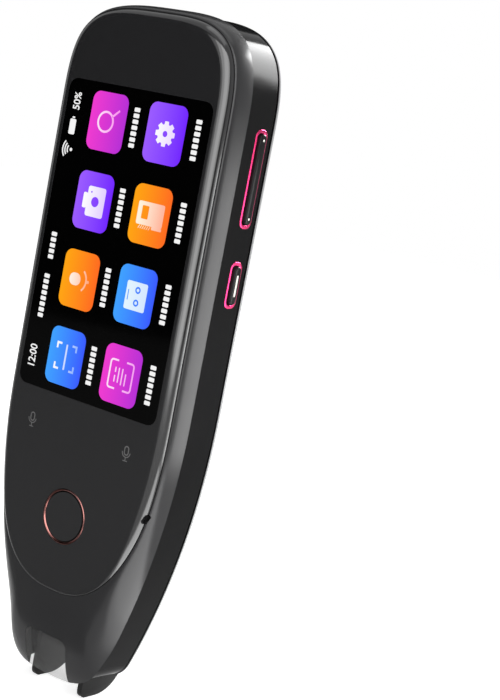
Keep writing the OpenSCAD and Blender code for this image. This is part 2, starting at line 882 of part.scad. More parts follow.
module home_switch() {
    color("#d0d0cc") union() {
        block([-2.2, board_d - home_switch_t + 0.3, -2.2], [2.2, board_d, 2.2]);
        rod([0, 0], 1.2, board_d - home_switch_t, board_d - home_switch_t + 0.4);
    }
}

module microphones() {
    color("#c9c9c9") for (s = [-1, 1])
        block([s * (mic_x() - mic_in) - mic_half_w, board_d - mic_t, mic_z - mic_half_h],
              [s * (mic_x() - mic_in) + mic_half_w, board_d, mic_z + mic_half_h]);
}

module housing_screws() {
    color("#8f9296") for (p = housing_screw_at, s = [-1, 1]) {
        rod([s * p.x, p.y], housing_screw_head_r, deck_back_d, deck_back_d + screw_head_t);
        rod([s * p.x, p.y], housing_screw_r, bezel_d - housing_screw_bite + 0.1, deck_back_d);
    }
}

module board_screws() {
    color("#8f9296") for (p = board_screw_at) {
        rod(p, board_screw_head_r, board_back_d, board_back_d + screw_head_t);
        rod(p, board_screw_r, board_d - board_screw_bite, board_back_d);
    }
}

// ---- Scanning camera ---------------------------------------------------

module scan_camera() {
    color("#191919") block([-scan_half, scan_front_d, scan_low], [scan_half, scan_back_d, scan_low + scan_h]);
}

module scan_lens() {
    color("#23283c") translate([0, dep(scan_axis_d), scan_lens_low])
        cylinder(r = scan_lens_r, h = scan_low - scan_lens_low);
}

module scan_lamp_board() {
    color("#f0f0ea") difference() {
        block([-lamp_board_half, scan_axis_d - lamp_board_deep, lamp_board_low],
              [lamp_board_half, scan_axis_d + lamp_board_deep, scan_low]);
        translate([0, dep(scan_axis_d), lamp_board_low - 1]) cylinder(r = scan_lens_r + fit, h = 3);
    }
}

module scan_lamps() {
    color("#fff7d0") for (s = [-1, 1])
        translate([s * lamp_x, dep(scan_axis_d), lamp_low + lamp_t / 2]) cube([1.5, 2, lamp_t], center = true);
}

module scan_board() {
    color("#14563a") block([-scan_board_half, scan_back_d, scan_low],
                           [scan_board_half, scan_back_d + scan_board_t, scan_low + scan_board_h]);
}

module tip_switch() {
    color("#1d1d1d") difference() {
        well = plunger_half + plunger_gap;
        block([scan_half + 0.3, deck_back_d, tip_switch_low],
              [plunger_x + 2, plunger_d + 1.3, tip_switch_low + tip_switch_h]);
        block([plunger_x - well, plunger_d - well, tip_switch_low - 1],
              [plunger_x + well, plunger_d + well, tip_switch_low + tip_switch_well]);
    }
}

// ---- Fixed pins and rings ----------------------------------------------

module guide_pins() {
    color("#c8cacc") for (s = [-1, 1])
        translate([s * guide_x, dep(guide_d), lug_low_z])
            cylinder(r = guide_r, h = lug_high_z + lug_t - lug_low_z);
}

// A coil spring round each guide pin, between the foot's ear and the upper lug
module coil(low, high) {
    steps = 14 * spring_turns;
    ring_sides = 6;
    span = high - low - 2 * spring_wire;
    rings = [for (k = [0 : steps])
        let (a = 360 * spring_turns * k / steps, z = low + spring_wire + span * k / steps)
        [for (j = [0 : ring_sides - 1])
            let (b = -360 * j / ring_sides, r = spring_r + spring_wire * cos(b))
            [r * cos(a), r * sin(a), z + spring_wire * sin(b)]]];
    skin(rings);
}

module foot_springs() {
    color("#d4d6d8") for (s = [-1, 1]) translate([s * guide_x, dep(guide_d), 0])
        coil(ear_low + ear_t + spring_gap, lug_high_z - spring_gap);
}

module rocker_pin() {
    color("#c8cacc") rod([side_x(rocker_z) - band_wall - lever_in, rocker_z], lever_r,
                         key_d - trim_w / 2 - 0.55, key_d + trim_w / 2 + 0.55);
}

// Ring of coloured metal that lines a side key's slot
module key_trim(z, len) {
    side_shape(z, side_x(z) - band_wall, side_x(z) + 0.25) difference() {
        tablet(trim_w, len, 1.5);
        tablet(trim_w - 2 * trim_wall, len - 2 * trim_wall, 1.5 - trim_wall);
    }
}

module volume_trim() {
    color("#d83c82") key_trim(rocker_z, rocker_len);
}

module power_trim() {
    color("#d83c82") key_trim(power_z, power_len);
}

module home_ring() {
    color("#c98f86") difference() {
        rod([0, 0], ring_r, 0, panel_t);
        rod([0, 0], ring_r - ring_w, -1, panel_t + 1);
    }
}

// ---- Moving pieces -----------------------------------------------------

// Cap and inner flange of a side key
module side_key(z, len) {
    inner = side_x(z) - band_wall;
    cap_w = trim_w - 2 * trim_wall - 2 * key_gap;
    cap_len = len - 2 * trim_wall - 2 * key_gap;
    side_shape(z, inner - flange_gap - 0.1, side_x(z) + key_proud) tablet(cap_w, cap_len, cap_w / 2 - 0.02);
    side_shape(z, inner - flange_gap - key_flange, inner - flange_gap) tablet(trim_w - 0.4, len + 0.6, 1);
}

// Round nub on the inner side of a side key, short of its switch by a gap
module nub(z, at_z, gap) {
    x = key_board_x + key_board_t + switch_t + dome_t + gap;
    translate([x, dep(key_d), at_z]) rotate([0, 90, 0])
        cylinder(r = nub_r, h = side_x(z) - band_wall - flange_gap - 0.1 - x);
}

module volume_rocker() {
    pivot_x = side_x(rocker_z) - band_wall - lever_in;
    color("#1e1e1e") difference() {
        union() {
            side_key(rocker_z, rocker_len);
            for (s = [-1, 1]) nub(rocker_z, rocker_z + s * nub_z, nub_z * sin(rocker_tilt) + switch_gap);
            block([pivot_x - 0.9, key_d - 1.1, rocker_z - lever_lug + 0.2],
                  [pivot_x + 0.9, key_d + 1.1, rocker_z + lever_lug - 0.2]);
        }
        rod([pivot_x, rocker_z], lever_r + 0.04, 0, body_d);
    }
}

module power_button() {
    color("#1e1e1e") union() {
        side_key(power_z, power_len);
        nub(power_z, power_z, power_travel + switch_gap);
    }
}

module home_button() {
    color("#1c1c1c") union() {
        rod([0, 0], key_cap_r, home_sink, key_flange_d + 0.1);
        rod([0, 0], key_flange_r, key_flange_d, key_flange_d + key_flange_t);
        rod([0, 0], key_stem_r, key_flange_d, key_stem_d);
    }
}

// Side view of the foot: a straight front, a rounded toe, a flat sole and a long rounded heel
module foot_profile() {
    toe_d = foot_front_d + toe_deep;
    heel_d = foot_back_d - heel_deep;
    points = concat(
        [[foot_front_d, foot_top + 1]],
        [for (a = [0 : 15 : 90]) [toe_d - toe_deep * cos(a), foot_low + toe_high - toe_high * sin(a)]],
        [for (a = [90 : -9 : 0]) [heel_d + heel_deep * cos(a), foot_low + heel_high - heel_high * sin(a)]],
        [[foot_back_d, foot_top + 1]]
    );
    translate([-foot_w - 1, 0, 0]) rotate([90, 0, 90]) linear_extrude(2 * foot_w + 2)
        polygon([for (p = points) [dep(p.x), p.y]]);
}

module scan_foot() {
    color("#1a1a1a") difference() {
        union() {
            intersection() {
                layer(foot_front_d, foot_back_d) difference() {
                    polygon(arch(foot_w, foot_top, foot_r, foot_low - 1));
                    polygon(arch(foot_w - foot_wall, foot_top - foot_wall, foot_r - foot_wall, foot_low - 2));
                }
                foot_profile();
            }
            for (s = [-1, 1])
                block([s > 0 ? foot_w - ear_root : -ear_x, guide_d - ear_half, ear_low],
                      [s > 0 ? ear_x : -foot_w + ear_root, guide_d + ear_half, ear_low + ear_t]);
            block([plunger_x - post_half, plunger_d - post_half, foot_top - post_sink],
                  [plunger_x + post_half, plunger_d + post_half, post_top]);
        }
        block([-scan_slot_half, scan_axis_d - scan_slot_deep, foot_top - 3],
              [scan_slot_half, scan_axis_d + scan_slot_deep, foot_top + 1]);
        for (s = [-1, 1]) translate([s * guide_x, dep(guide_d), ear_low - 1])
            cylinder(r = guide_r + guide_gap, h = ear_t + 2);
    }
}

module tip_plunger() {
    color("#e8e4da") block(
        [plunger_x - plunger_half, plunger_d - plunger_half, post_top + plunger_gap],
        [plunger_x + plunger_half, plunger_d + plunger_half, tip_switch_low + 0.8]);
}

front_housing();
front_panel();
nose_window();
mid_frame();
back_cover();
display_module();
display_pad();
display_flex();
camera_ring();
camera_window();
camera_baffle();
camera_lens();
camera_module();
speaker_mesh();
speaker_gasket();
speaker();
usb_shell();
usb_tongue();
volume_trim();
power_trim();
home_ring();
main_board();
processor();
memory_chip();
shield_can();
antenna();
battery();
battery_pad();
battery_lead();
battery_plug();
key_board();
volume_switches();
power_switch();
home_switch();
microphones();
housing_screws();
board_screws();
scan_camera();
scan_lens();
scan_lamp_board();
scan_lamps();
scan_board();
tip_switch();
guide_pins();
foot_springs();
rocker_pin();
volume_rocker();
power_button();
home_button();
scan_foot();
tip_plunger();
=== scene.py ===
import json
import math

import bmesh
import bpy
from mathutils import Matrix, Vector, kdtree


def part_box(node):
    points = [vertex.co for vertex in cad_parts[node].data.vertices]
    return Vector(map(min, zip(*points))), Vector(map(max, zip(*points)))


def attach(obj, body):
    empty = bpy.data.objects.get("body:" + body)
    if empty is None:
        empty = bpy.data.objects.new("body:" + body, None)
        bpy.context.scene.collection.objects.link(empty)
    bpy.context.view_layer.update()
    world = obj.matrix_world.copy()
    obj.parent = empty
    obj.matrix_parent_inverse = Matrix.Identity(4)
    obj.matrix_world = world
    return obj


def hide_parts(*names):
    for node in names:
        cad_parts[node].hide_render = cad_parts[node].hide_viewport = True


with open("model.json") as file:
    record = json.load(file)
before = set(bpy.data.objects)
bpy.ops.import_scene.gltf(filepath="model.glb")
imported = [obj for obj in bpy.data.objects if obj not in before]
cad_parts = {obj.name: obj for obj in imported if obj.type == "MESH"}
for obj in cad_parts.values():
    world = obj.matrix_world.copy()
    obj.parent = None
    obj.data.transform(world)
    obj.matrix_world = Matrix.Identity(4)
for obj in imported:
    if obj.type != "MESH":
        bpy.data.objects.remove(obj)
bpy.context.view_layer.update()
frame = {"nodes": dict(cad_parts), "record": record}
print("Frame loaded:", len(frame["nodes"]), "nodes")

# All sizes are in millimetres: depths behind the front face, widths and heights from the home key.
# Cutters reach 1 to 3 mm past what they cut.
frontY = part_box("front_panel")[0].y * 1000
housingLow, housingHigh = (corner * 1000 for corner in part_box("front_housing"))
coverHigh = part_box("back_cover")[1] * 1000
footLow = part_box("scan_foot")[0] * 1000

pen = {
    "gripWidth": 2 * housingHigh.x,
    "topWidth": 47,
    "bendHeight": 26.8,  # the sides start to close in below this height
    "sideRadius": 155,
    "topHeight": 22.6,
    "tipHeight": 5.5,
    "topPower": 3.4,  # 2 gives an ellipse, and more is squarer
    "tipPower": 3,
    "tipPoints": 30,
    "sidePoints": 56,
    "topPoints": 46,
    "tip": housingLow.z,
    "top": housingHigh.z,
    "deckDepth": housingHigh.y - frontY,
    "bezelRise": 1.9,  # the joint of bezel and band lies this much deeper above the nose
    "bezelSpan": 12,
    "coverDepth": 14.9,
    "backDepth": coverHigh.y - frontY,
    "noseTop": -19.5,  # the hollow nose ends here, and the deck begins
    "reach": 30,  # a cutter this wide on each side passes through the whole pen
}


# Small tools for modelling

def spot(x, depth, z):
    return Vector((x, depth + frontY, z)) / 1000


def deselectAll():
    if bpy.context.object and bpy.context.object.mode != "OBJECT":
        bpy.ops.object.mode_set(mode="OBJECT")
    bpy.ops.object.select_all(action="DESELECT")


def pickOnly(piece):
    deselectAll()
    piece.select_set(True)
    bpy.context.view_layer.objects.active = piece


def applyPlace(piece):
    pickOnly(piece)
    bpy.ops.object.transform_apply(location=True, rotation=True, scale=True)


def moveRing(piece, ring, finder=None):
    # the selected corners go to the places of one ring, in the order of the ring before
    form = bmesh.from_edit_mesh(piece.data)
    for corner in (c for c in form.verts if c.select):
        order = finder.find(corner.co)[1] if finder else corner.index
        corner.co = ring[order]
    bmesh.update_edit_mesh(piece.data)


def ringFinder(ring):
    finder = kdtree.KDTree(len(ring))
    for order, place in enumerate(ring):
        finder.insert(place, order)
    finder.balance()
    return finder


def loft(name, rings, hollow=False):
    # a circle is given the first outline and pulled out ring by ring
    deselectAll()
    bpy.ops.mesh.primitive_circle_add(vertices=len(rings[0]), radius=1)
    piece = bpy.context.object
    piece.name = name
    bpy.ops.object.mode_set(mode="EDIT")
    bpy.ops.mesh.select_all(action="SELECT")
    moveRing(piece, rings[0])
    if not hollow:
        bpy.ops.mesh.edge_face_add()
    for before, ring in zip(rings, rings[1:]):
        bpy.ops.mesh.extrude_region_move() if hollow else bpy.ops.mesh.extrude_edges_move()
        moveRing(piece, ring, ringFinder(before))
    if not hollow:
        bpy.ops.mesh.edge_face_add()
    bpy.ops.mesh.select_all(action="SELECT")
    bpy.ops.mesh.remove_doubles(threshold=1e-7)
    bpy.ops.mesh.normals_make_consistent(inside=False)
    bpy.ops.object.mode_set(mode="OBJECT")
    return piece


def ringAt(outline, depth):
    # one ring of a loft, at one depth or at a depth for each point
    depths = depth if isinstance(depth, list) else [depth] * len(outline)
    return [spot(x, d, z) for (x, z), d in zip(outline, depths)]


def sideRing(outline, x):
    return [spot(x, depth, z) for depth, z in outline]


def prism(name, outline, depthFrom, depthTo):
    return loft(name, [ringAt(outline, depthFrom), ringAt(outline, depthTo)])


def sidePrism(name, outline, xFrom, xTo):
    return loft(name, [sideRing(outline, xFrom), sideRing(outline, xTo)])


def block(name, left, right, low, high, depthFrom, depthTo):
    return prism(name, [(left, low), (right, low), (right, high), (left, high)], depthFrom, depthTo)


def disc(x, z, radius, sides=32):
    turns = [2 * math.pi * step / sides for step in range(sides)]
    return [(x + radius * math.cos(turn), z + radius * math.sin(turn)) for turn in turns]


def rod(name, x, z, radius, depthFrom, depthTo, sides=48):
    return prism(name, disc(x, z, radius, sides), depthFrom, depthTo)


def quarterTurns(steps):
    return [math.pi / 2 * step / steps for step in range(steps + 1)]


def placeAsMesh(place, turned):
    # the active text or flat curve becomes a mesh before its place is applied
    bpy.ops.object.convert(target="MESH")
    piece = bpy.context.object
    piece.matrix_world = Matrix.Translation(place) @ turned
    applyPlace(piece)
    return piece


def flatPiece(name, outlines, depth, thickness=0.1):
    # outlines inside other outlines become holes
    deselectAll()
    curve = bpy.data.curves.new(name, "CURVE")
    curve.dimensions = "2D"
    curve.fill_mode = "BOTH"
    curve.extrude = thickness / 2000
    for outline in outlines:
        line = curve.splines.new("POLY")
        line.points.add(len(outline) - 1)
        for point, (x, z) in zip(line.points, outline):
            point.co = (x / 1000, z / 1000, 0, 1)
        line.use_cyclic_u = True
    piece = bpy.data.objects.new(name, curve)
    bpy.context.scene.collection.objects.link(piece)
    pickOnly(piece)
    return placeAsMesh(spot(0, depth + thickness / 2, 0), Matrix.Rotation(math.pi / 2, 4, "X"))


def numbers(name, figures, x, z, size, stretch, depth, thickness=0.02):
    # the figures run upwards, with their tops towards -X
    deselectAll()
    bpy.ops.object.text_add()
    piece = bpy.context.object
    piece.name = name
    piece.data.body = figures
    piece.data.size = size / 1000
    piece.data.offset = 0.00004  # a slightly bolder face
    piece.data.extrude = thickness / 2000
    turned = Matrix(((0, -1, 0, 0), (0, 0, -1, 0), (stretch, 0, 0, 0), (0, 0, 0, 1)))
    piece = placeAsMesh(spot(x, depth + thickness / 2, z), turned)
    bpy.ops.object.mode_set(mode="EDIT")
    bpy.ops.mesh.select_all(action="SELECT")
    bpy.ops.mesh.normals_make_consistent(inside=False)
    bpy.ops.object.mode_set(mode="OBJECT")
    return piece


def joinPieces(pieces, name):
    deselectAll()
    for piece in pieces:
        piece.select_set(True)
    bpy.context.view_layer.objects.active = pieces[0]
    if len(pieces) > 1:
        bpy.ops.object.join()
    pieces[0].name = name
    return pieces[0]


def combine(piece, tool, operation="DIFFERENCE"):
    pickOnly(piece)
    bpy.ops.object.modifier_add(type="BOOLEAN")
    cut = piece.modifiers[-1]
    cut.operation = operation
    cut.solver = "EXACT"
    cut.object = tool
    bpy.ops.object.modifier_apply(modifier=cut.name)
    bpy.data.objects.remove(tool)
    return piece


def roundEdges(piece, width, segments=3, angle=40):
    pickOnly(piece)
    bpy.ops.object.modifier_add(type="BEVEL")
    edge = piece.modifiers[-1]
    edge.width = width / 1000
    edge.segments = segments
    edge.limit_method = "ANGLE"
    edge.angle_limit = math.radians(angle)
    edge.use_clamp_overlap = True
    bpy.ops.object.modifier_apply(modifier=edge.name)
    return piece


def finishPiece(piece, name, body, material, replaced=(), smooth=35):
    # edges that turn by more than the smooth angle, in degrees, stay sharp
    piece.name = name
    applyPlace(piece)
    bpy.ops.object.mode_set(mode="EDIT")
    bpy.ops.mesh.select_all(action="SELECT")
    bpy.ops.mesh.remove_doubles(threshold=2e-7)
    bpy.ops.object.mode_set(mode="OBJECT")
    bpy.ops.object.shade_smooth_by_angle(angle=math.radians(smooth))
    piece.data.materials.clear()
    piece.data.materials.append(material)
    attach(piece, body)
    if replaced:
        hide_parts(*replaced)
    print("Piece:", name, len(piece.data.polygons), "faces")
    return piece


# Outlines in the width-height plane

def halfWidth(z):
    if z > pen["bendHeight"]:
        shoulder = pen["top"] - pen["topHeight"]
        share = (z - pen["bendHeight"]) / (shoulder - pen["bendHeight"])
        return (pen["gripWidth"] + (pen["topWidth"] - pen["gripWidth"]) * share) / 2
    drop = pen["bendHeight"] - z
    return pen["gripWidth"] / 2 - pen["sideRadius"] + math.sqrt(pen["sideRadius"] ** 2 - drop ** 2)


def penOutline():
    corner = pen["tip"] + pen["tipHeight"]
    shoulder = pen["top"] - pen["topHeight"]
    half = []
    for turn in quarterTurns(pen["tipPoints"])[:-1]:
        z = corner - pen["tipHeight"] * math.cos(turn) ** (2 / pen["tipPower"])
        half.append((halfWidth(z) * math.sin(turn) ** (2 / pen["tipPower"]), z))
    for step in range(pen["sidePoints"]):
        z = corner + (shoulder - corner) * step / pen["sidePoints"]
        half.append((halfWidth(z), z))
    for turn in quarterTurns(pen["topPoints"]):
        across = max(math.cos(turn), 0) ** (2 / pen["topPower"])
        up = math.sin(turn) ** (2 / pen["topPower"])
        half.append((pen["topWidth"] / 2 * across, shoulder + pen["topHeight"] * up))
    half[-1] = (0, half[-1][1])
    return half + [(-x, z) for x, z in reversed(half[1:-1])]


def moveIn(outline, distance):
    count = len(outline)
    moved = []
    for step, (x, z) in enumerate(outline):
        after, before = outline[(step + 1) % count], outline[step - 1]
        along = Vector((after[0] - before[0], after[1] - before[1])).normalized()
        by = distance[step] if isinstance(distance, list) else distance
        moved.append((x - by * along.y, z + by * along.x))
    return moved


def between(start, end, share):
    return [(a[0] + (b[0] - a[0]) * share, a[1] + (b[1] - a[1]) * share) for a, b in zip(start, end)]


def ease(share):
    share = min(max(share, 0), 1)
    return share * share * (3 - 2 * share)


def arch(half, top, radius, low, flare=0, steps=8):
    right = [(half - radius + radius * math.cos(t), top - radius + radius * math.sin(t))
             for t in quarterTurns(steps)]
    return [(half + flare, low)] + right + [(-x, z) for x, z in reversed(right)] + [(-half - flare, low)]


def roundedBox(width, height, radius, steps=6, centre=(0, 0)):
    outline = []
    for quarter, (sx, sz) in enumerate(((1, 1), (-1, 1), (-1, -1), (1, -1))):
        for step in range(steps + 1):
            turn = math.pi / 2 * (quarter + step / steps)
            outline.append((centre[0] + sx * (width / 2 - radius) + radius * math.cos(turn),
                            centre[1] + sz * (height / 2 - radius) + radius * math.sin(turn)))
    return outline


def bezelDepth(z):
    return pen["deckDepth"] + pen["bezelRise"] * ease((z - pen["tip"]) / pen["bezelSpan"])


edgeOutline = penOutline()
edgeDepths = [bezelDepth(z) for x, z in edgeOutline]

panel = {
    "bezelWidth": 1.4,
    "seamDepth": 1.8,
    "seamLowDepth": 0.25,
    "seamSpan": 24,
    "thickness": 1.9,
    "roundedEdge": 2.5,
    "roundedLow": 0.27,  # share of it that is left at the nose
    "drop": 15.9,  # lower end below the home key
    "power": 2.5,
    "gap": 0.1,
    "rings": 14,
}


def panelReach(turn):
    # from the middle of the bend to the panel's edge, in a direction turned away from straight down
    bend, power = pen["bendHeight"], panel["power"]
    across = abs(math.sin(turn)) / (halfWidth(bend) - panel["bezelWidth"])
    down = math.cos(turn) / (bend + panel["drop"])
    return (across ** power + down ** power) ** (-1 / power)


def panelOutline():
    bend = pen["bendHeight"]
    outline = moveIn(edgeOutline, panel["bezelWidth"])
    for order, (x, z) in enumerate(edgeOutline):
        if z < bend:
            turn = math.atan2(x, bend - z)
            reach = panelReach(turn)
            outline[order] = (reach * math.sin(turn), bend - reach * math.cos(turn))
    return outline


panelEdge = panelOutline()
seamShares = [ease((z + panel["drop"]) / panel["seamSpan"]) for x, z in panelEdge]
seamDepths = [panel["seamLowDepth"] + (panel["seamDepth"] - panel["seamLowDepth"]) * share
              for share in seamShares]


# Colours and materials

def linearColour(code):
    parts = [int(code[k:k + 2], 16) / 255 for k in (1, 3, 5)]
    return tuple(p / 12.92 if p <= 0.04045 else ((p + 0.055) / 1.055) ** 2.4 for p in parts) + (1,)


def addNode(tree, kind, settings=None, inputs=None):
    node = tree.nodes.new("ShaderNode" + kind)
    for name, value in (settings or {}).items():
        setattr(node, name, value)
    for name, value in (inputs or {}).items():
        if isinstance(value, tuple) and isinstance(value[0], bpy.types.Node):
            tree.links.new(value[0].outputs[value[1]], node.inputs[name])
        else:
            node.inputs[name].default_value = value
    return node


def newMaterial(name, settings):
    material = bpy.data.materials.new(name)
    material.use_nodes = True
    tree = material.node_tree
    tree.nodes.clear()
    shader = addNode(tree, "BsdfPrincipled", inputs=settings)
    addNode(tree, "OutputMaterial", inputs={"Surface": (shader, "BSDF")})
    return material, tree, shader


def objectPlace(tree, stretch=(1, 1, 1)):
    # object coordinates in millimetres
    where = addNode(tree, "TexCoord")
    return addNode(tree, "Mapping", inputs={
        "Vector": (where, "Object"), "Scale": tuple(1000 * s for s in stretch)})


def ramp(tree, source, low, high, colours):
    node = addNode(tree, "ValToRGB", inputs={"Fac": source})
    for stop, place, colour in zip(node.color_ramp.elements, (low, high), colours):
        stop.position = place
        stop.color = colour
    return node


def grainBump(tree, shader, place, grain, height, strength=0.4):
    # grain is the size of one grain in millimetres, height its depth in millimetres
    noise = addNode(tree, "TexNoise", inputs={
        "Vector": (place, "Vector"), "Scale": 1 / grain, "Detail": 3.0, "Roughness": 0.6})
    bump = addNode(tree, "Bump", inputs={
        "Height": (noise, "Fac"), "Distance": height / 1000, "Strength": strength})
    tree.links.new(bump.outputs["Normal"], shader.inputs["Normal"])


def varyRoughness(tree, shader, place, patch, gloss):
    # patch is the size of one glossier patch in millimetres
    noise = addNode(tree, "TexNoise", inputs={"Vector": (place, "Vector"), "Scale": 1 / patch, "Detail": 4.0})
    spread = addNode(tree, "MapRange", inputs={
        "Value": (noise, "Fac"), "From Min": 0.3, "From Max": 0.7, "To Min": gloss[0], "To Max": gloss[1]})
    tree.links.new(spread.outputs["Result"], shader.inputs["Roughness"])


def plasticMaterial(name, settings):
    # injection-moulded plastic: one colour, a fine spark-eroded grain and slightly uneven gloss
    material, tree, shader = newMaterial(name, {
        "Base Color": linearColour(settings["colour"]), "IOR": 1.5,
        "Specular IOR Level": settings.get("specular", 0.4)})
    place = objectPlace(tree)
    grainBump(tree, shader, place, settings["grain"], settings["grainHeight"])
    varyRoughness(tree, shader, place, 9, settings["gloss"])
    cloud = addNode(tree, "TexNoise", inputs={"Vector": (place, "Vector"), "Scale": 1 / 20})
    colours = [linearColour(settings.get(key, settings["colour"])) for key in ("colour", "colour2")]
    tint = ramp(tree, (cloud, "Fac"), 0.3, 0.7, colours)
    tree.links.new(tint.outputs["Color"], shader.inputs["Base Color"])
    return material


def metalMaterial(name, settings):
    # metal keeps the default IOR, and its colour is the reflection's colour
    material, tree, shader = newMaterial(name, {
        "Base Color": linearColour(settings["colour"]), "Metallic": 1.0})
    place = objectPlace(tree, settings.get("stretch", (1, 1, 1)))
    grainBump(tree, shader, place, settings["grain"], settings["grainHeight"], 0.3)
    varyRoughness(tree, shader, place, 4, settings["gloss"])
    return material


# ABS with a satin soft coat, as sprayed: dark and even, with a broad soft sheen on its curves
housingAbs = plasticMaterial("satinCoatedAbs", {
    "colour": "#2A2A2B", "colour2": "#2D2D2E", "grain": 0.12, "grainHeight": 0.002, "gloss": (0.2, 0.26),
    "specular": 0.16})
# ABS from a finely eroded mould: even dark grey that only mirrors strong light, beside the brighter lip
bandAbs = plasticMaterial("mouldedMatteAbs", {
    "colour": "#171718", "colour2": "#191919", "grain": 0.16, "grainHeight": 0.003, "gloss": (0.12, 0.15),
    "specular": 0.025})
# ABS from a polished mould: keys and foot
keyAbs = plasticMaterial("polishedAbs", {
    "colour": "#19191A", "colour2": "#1C1C1D", "grain": 0.1, "grainHeight": 0.002, "gloss": (0.14, 0.18),
    "specular": 0.05})
footAbs = plasticMaterial("satinFootAbs", {
    "colour": "#121212", "colour2": "#151515", "grain": 0.14, "grainHeight": 0.006, "gloss": (0.34, 0.42),
    "specular": 0.15})
blackAbs = plasticMaterial("blackMouldedAbs", {
    "colour": "#101010", "grain": 0.15, "grainHeight": 0.01, "gloss": (0.5, 0.6)})
whiteAbs = plasticMaterial("whiteMouldedAbs", {
    "colour": "#E0DDD2", "colour2": "#E6E3D9", "grain": 0.15, "grainHeight": 0.006, "gloss": (0.4, 0.5)})
foamRubber = plasticMaterial("closedCellFoam", {
    "colour": "#262626", "colour2": "#303030", "grain": 0.25, "grainHeight": 0.08, "gloss": (0.8, 0.9)})
chipEpoxy = plasticMaterial("mouldedChipEpoxy", {
    "colour": "#1A1A1C", "grain": 0.12, "grainHeight": 0.01, "gloss": (0.45, 0.55)})
leadRubber = plasticMaterial("redLeadRubber", {
    "colour": "#A01818", "grain": 0.2, "grainHeight": 0.004, "gloss": (0.35, 0.45)})

# Aluminium, bead-blasted and dyed: a coloured metal line with a soft glint
trimAluminium = metalMaterial("pinkAnodisedAluminium", {
    "colour": "#A22652", "grain": 0.08, "grainHeight": 0.001, "gloss": (0.2, 0.26)})
ringAluminium = metalMaterial("roseGoldAluminium", {
    "colour": "#6C4743", "grain": 0.1, "grainHeight": 0.001, "gloss": (0.14, 0.2)})
cameraAluminium = metalMaterial("redAnodisedAluminium", {
    "colour": "#8E0F22", "grain": 0.1, "grainHeight": 0.001, "gloss": (0.16, 0.22)})
rimMetal = metalMaterial("greyPaintedMetal", {
    "colour": "#8C8C8D", "grain": 0.1, "grainHeight": 0.001, "gloss": (0.28, 0.34)})
plateSteel = metalMaterial("platedSteel", {
    "colour": "#BFC1C3", "grain": 0.08, "grainHeight": 0.002, "gloss": (0.22, 0.32), "stretch": (1, 1, 0.15)})
contactGold = metalMaterial("platedGold", {
    "colour": "#D2AC62", "grain": 0.1, "grainHeight": 0.001, "gloss": (0.25, 0.32)})
cellFoil = metalMaterial("crimpedAluminiumFoil", {
    "colour": "#A9ADB2", "grain": 1.4, "grainHeight": 0.05, "gloss": (0.3, 0.42)})


def coverMaterial():
    # gunmetal lacquer with aluminium flake under a clear coat, as sprayed: an even grey with a fine sparkle
    # the flake is drawn about three times coarser than real, so that it shows
    settings = {"colour": "#A4A4A5", "flake": 0.18, "flakeDark": "#8F8F90", "clearRoughness": 0.12,
                "gloss": (0.27, 0.33)}
    material, tree, shader = newMaterial("gunmetalFlakeLacquer", {
        "Metallic": 1.0, "Roughness": 0.3, "Coat Weight": 0.4, "Coat Roughness": settings["clearRoughness"]})
    place = objectPlace(tree)
    flakes = addNode(tree, "TexVoronoi", inputs={"Vector": (place, "Vector"), "Scale": 1 / settings["flake"]})
    grey = ramp(tree, (flakes, "Color"), 0.0, 1.0,
                (linearColour(settings["flakeDark"]), linearColour(settings["colour"])))
    tree.links.new(grey.outputs["Color"], shader.inputs["Base Color"])
    varyRoughness(tree, shader, place, 12, settings["gloss"])
    return material


def glassMaterial(name, settings):
    # ground and polished glass with a thin film of finger grease
    material, tree, shader = newMaterial(name, {
        "Base Color": linearColour(settings["colour"]), "IOR": 1.5,
        "Specular IOR Level": settings["specular"], "Alpha": settings.get("alpha", 1.0)})
    place = objectPlace(tree)
    varyRoughness(tree, shader, place, 14, settings["gloss"])
    grainBump(tree, shader, place, 6, 0.002, 0.1)
    return material


coverLacquer = coverMaterial()
# cover glass, painted dark grey on its back round the display
panelGlass = glassMaterial("paintedCoverGlass", {
    "colour": "#222223", "specular": 0.4, "gloss": (0.10, 0.14)})
# display area under an anti-reflection coat: as good as black
screenGlass = glassMaterial("displayGlass", {
    "colour": "#020202", "specular": 0.1, "gloss": (0.05, 0.08)})
# clear moulded polycarbonate with a slight grey tint
noseClear = glassMaterial("clearPolycarbonate", {
    "colour": "#5A5A5A", "specular": 0.3, "gloss": (0.03, 0.05), "alpha": 0.24})
cameraGlass = glassMaterial("inkedCameraGlass", {
    "colour": "#050506", "specular": 0.35, "alpha": 0.3, "gloss": (0.02, 0.04)})


def lensMaterial():
    # coated lens: blue-violet rings of painted reflection round a painted bright highlight in the middle,
    # drawn into its base colour
    material, tree, shader = newMaterial("lensWithPaintedReflection", {
        "Roughness": 0.06, "IOR": 1.6, "Coat Weight": 1.0, "Coat Roughness": 0.03})
    place = objectPlace(tree)
    low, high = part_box("camera_lens")
    middle = tuple((low + high) / 2 * 1000)
    offset = addNode(tree, "VectorMath", {"operation": "DISTANCE"}, {0: (place, "Vector"), 1: middle})
    share = addNode(tree, "Math", {"operation": "DIVIDE"}, {0: (offset, "Value"), 1: 2.2})
    # painted reflection and painted highlight: base colour set in rings by the distance from the lens's
    # middle, white at the middle
    rings = addNode(tree, "ValToRGB", inputs={"Fac": (share, 0)})
    paintedReflectionStops = ((0.0, "#F4F6FF"), (0.14, "#8E98D8"), (0.3, "#27306E"),
             (0.5, "#7C86C8"), (0.72, "#3B3F78"), (0.95, "#141626"))
    while len(rings.color_ramp.elements) < len(paintedReflectionStops):
        rings.color_ramp.elements.new(0.5)
    for stop, (where, code) in zip(rings.color_ramp.elements, paintedReflectionStops):
        stop.position = where
        stop.color = linearColour(code)
    tree.links.new(rings.outputs["Color"], shader.inputs["Base Color"])
    return material


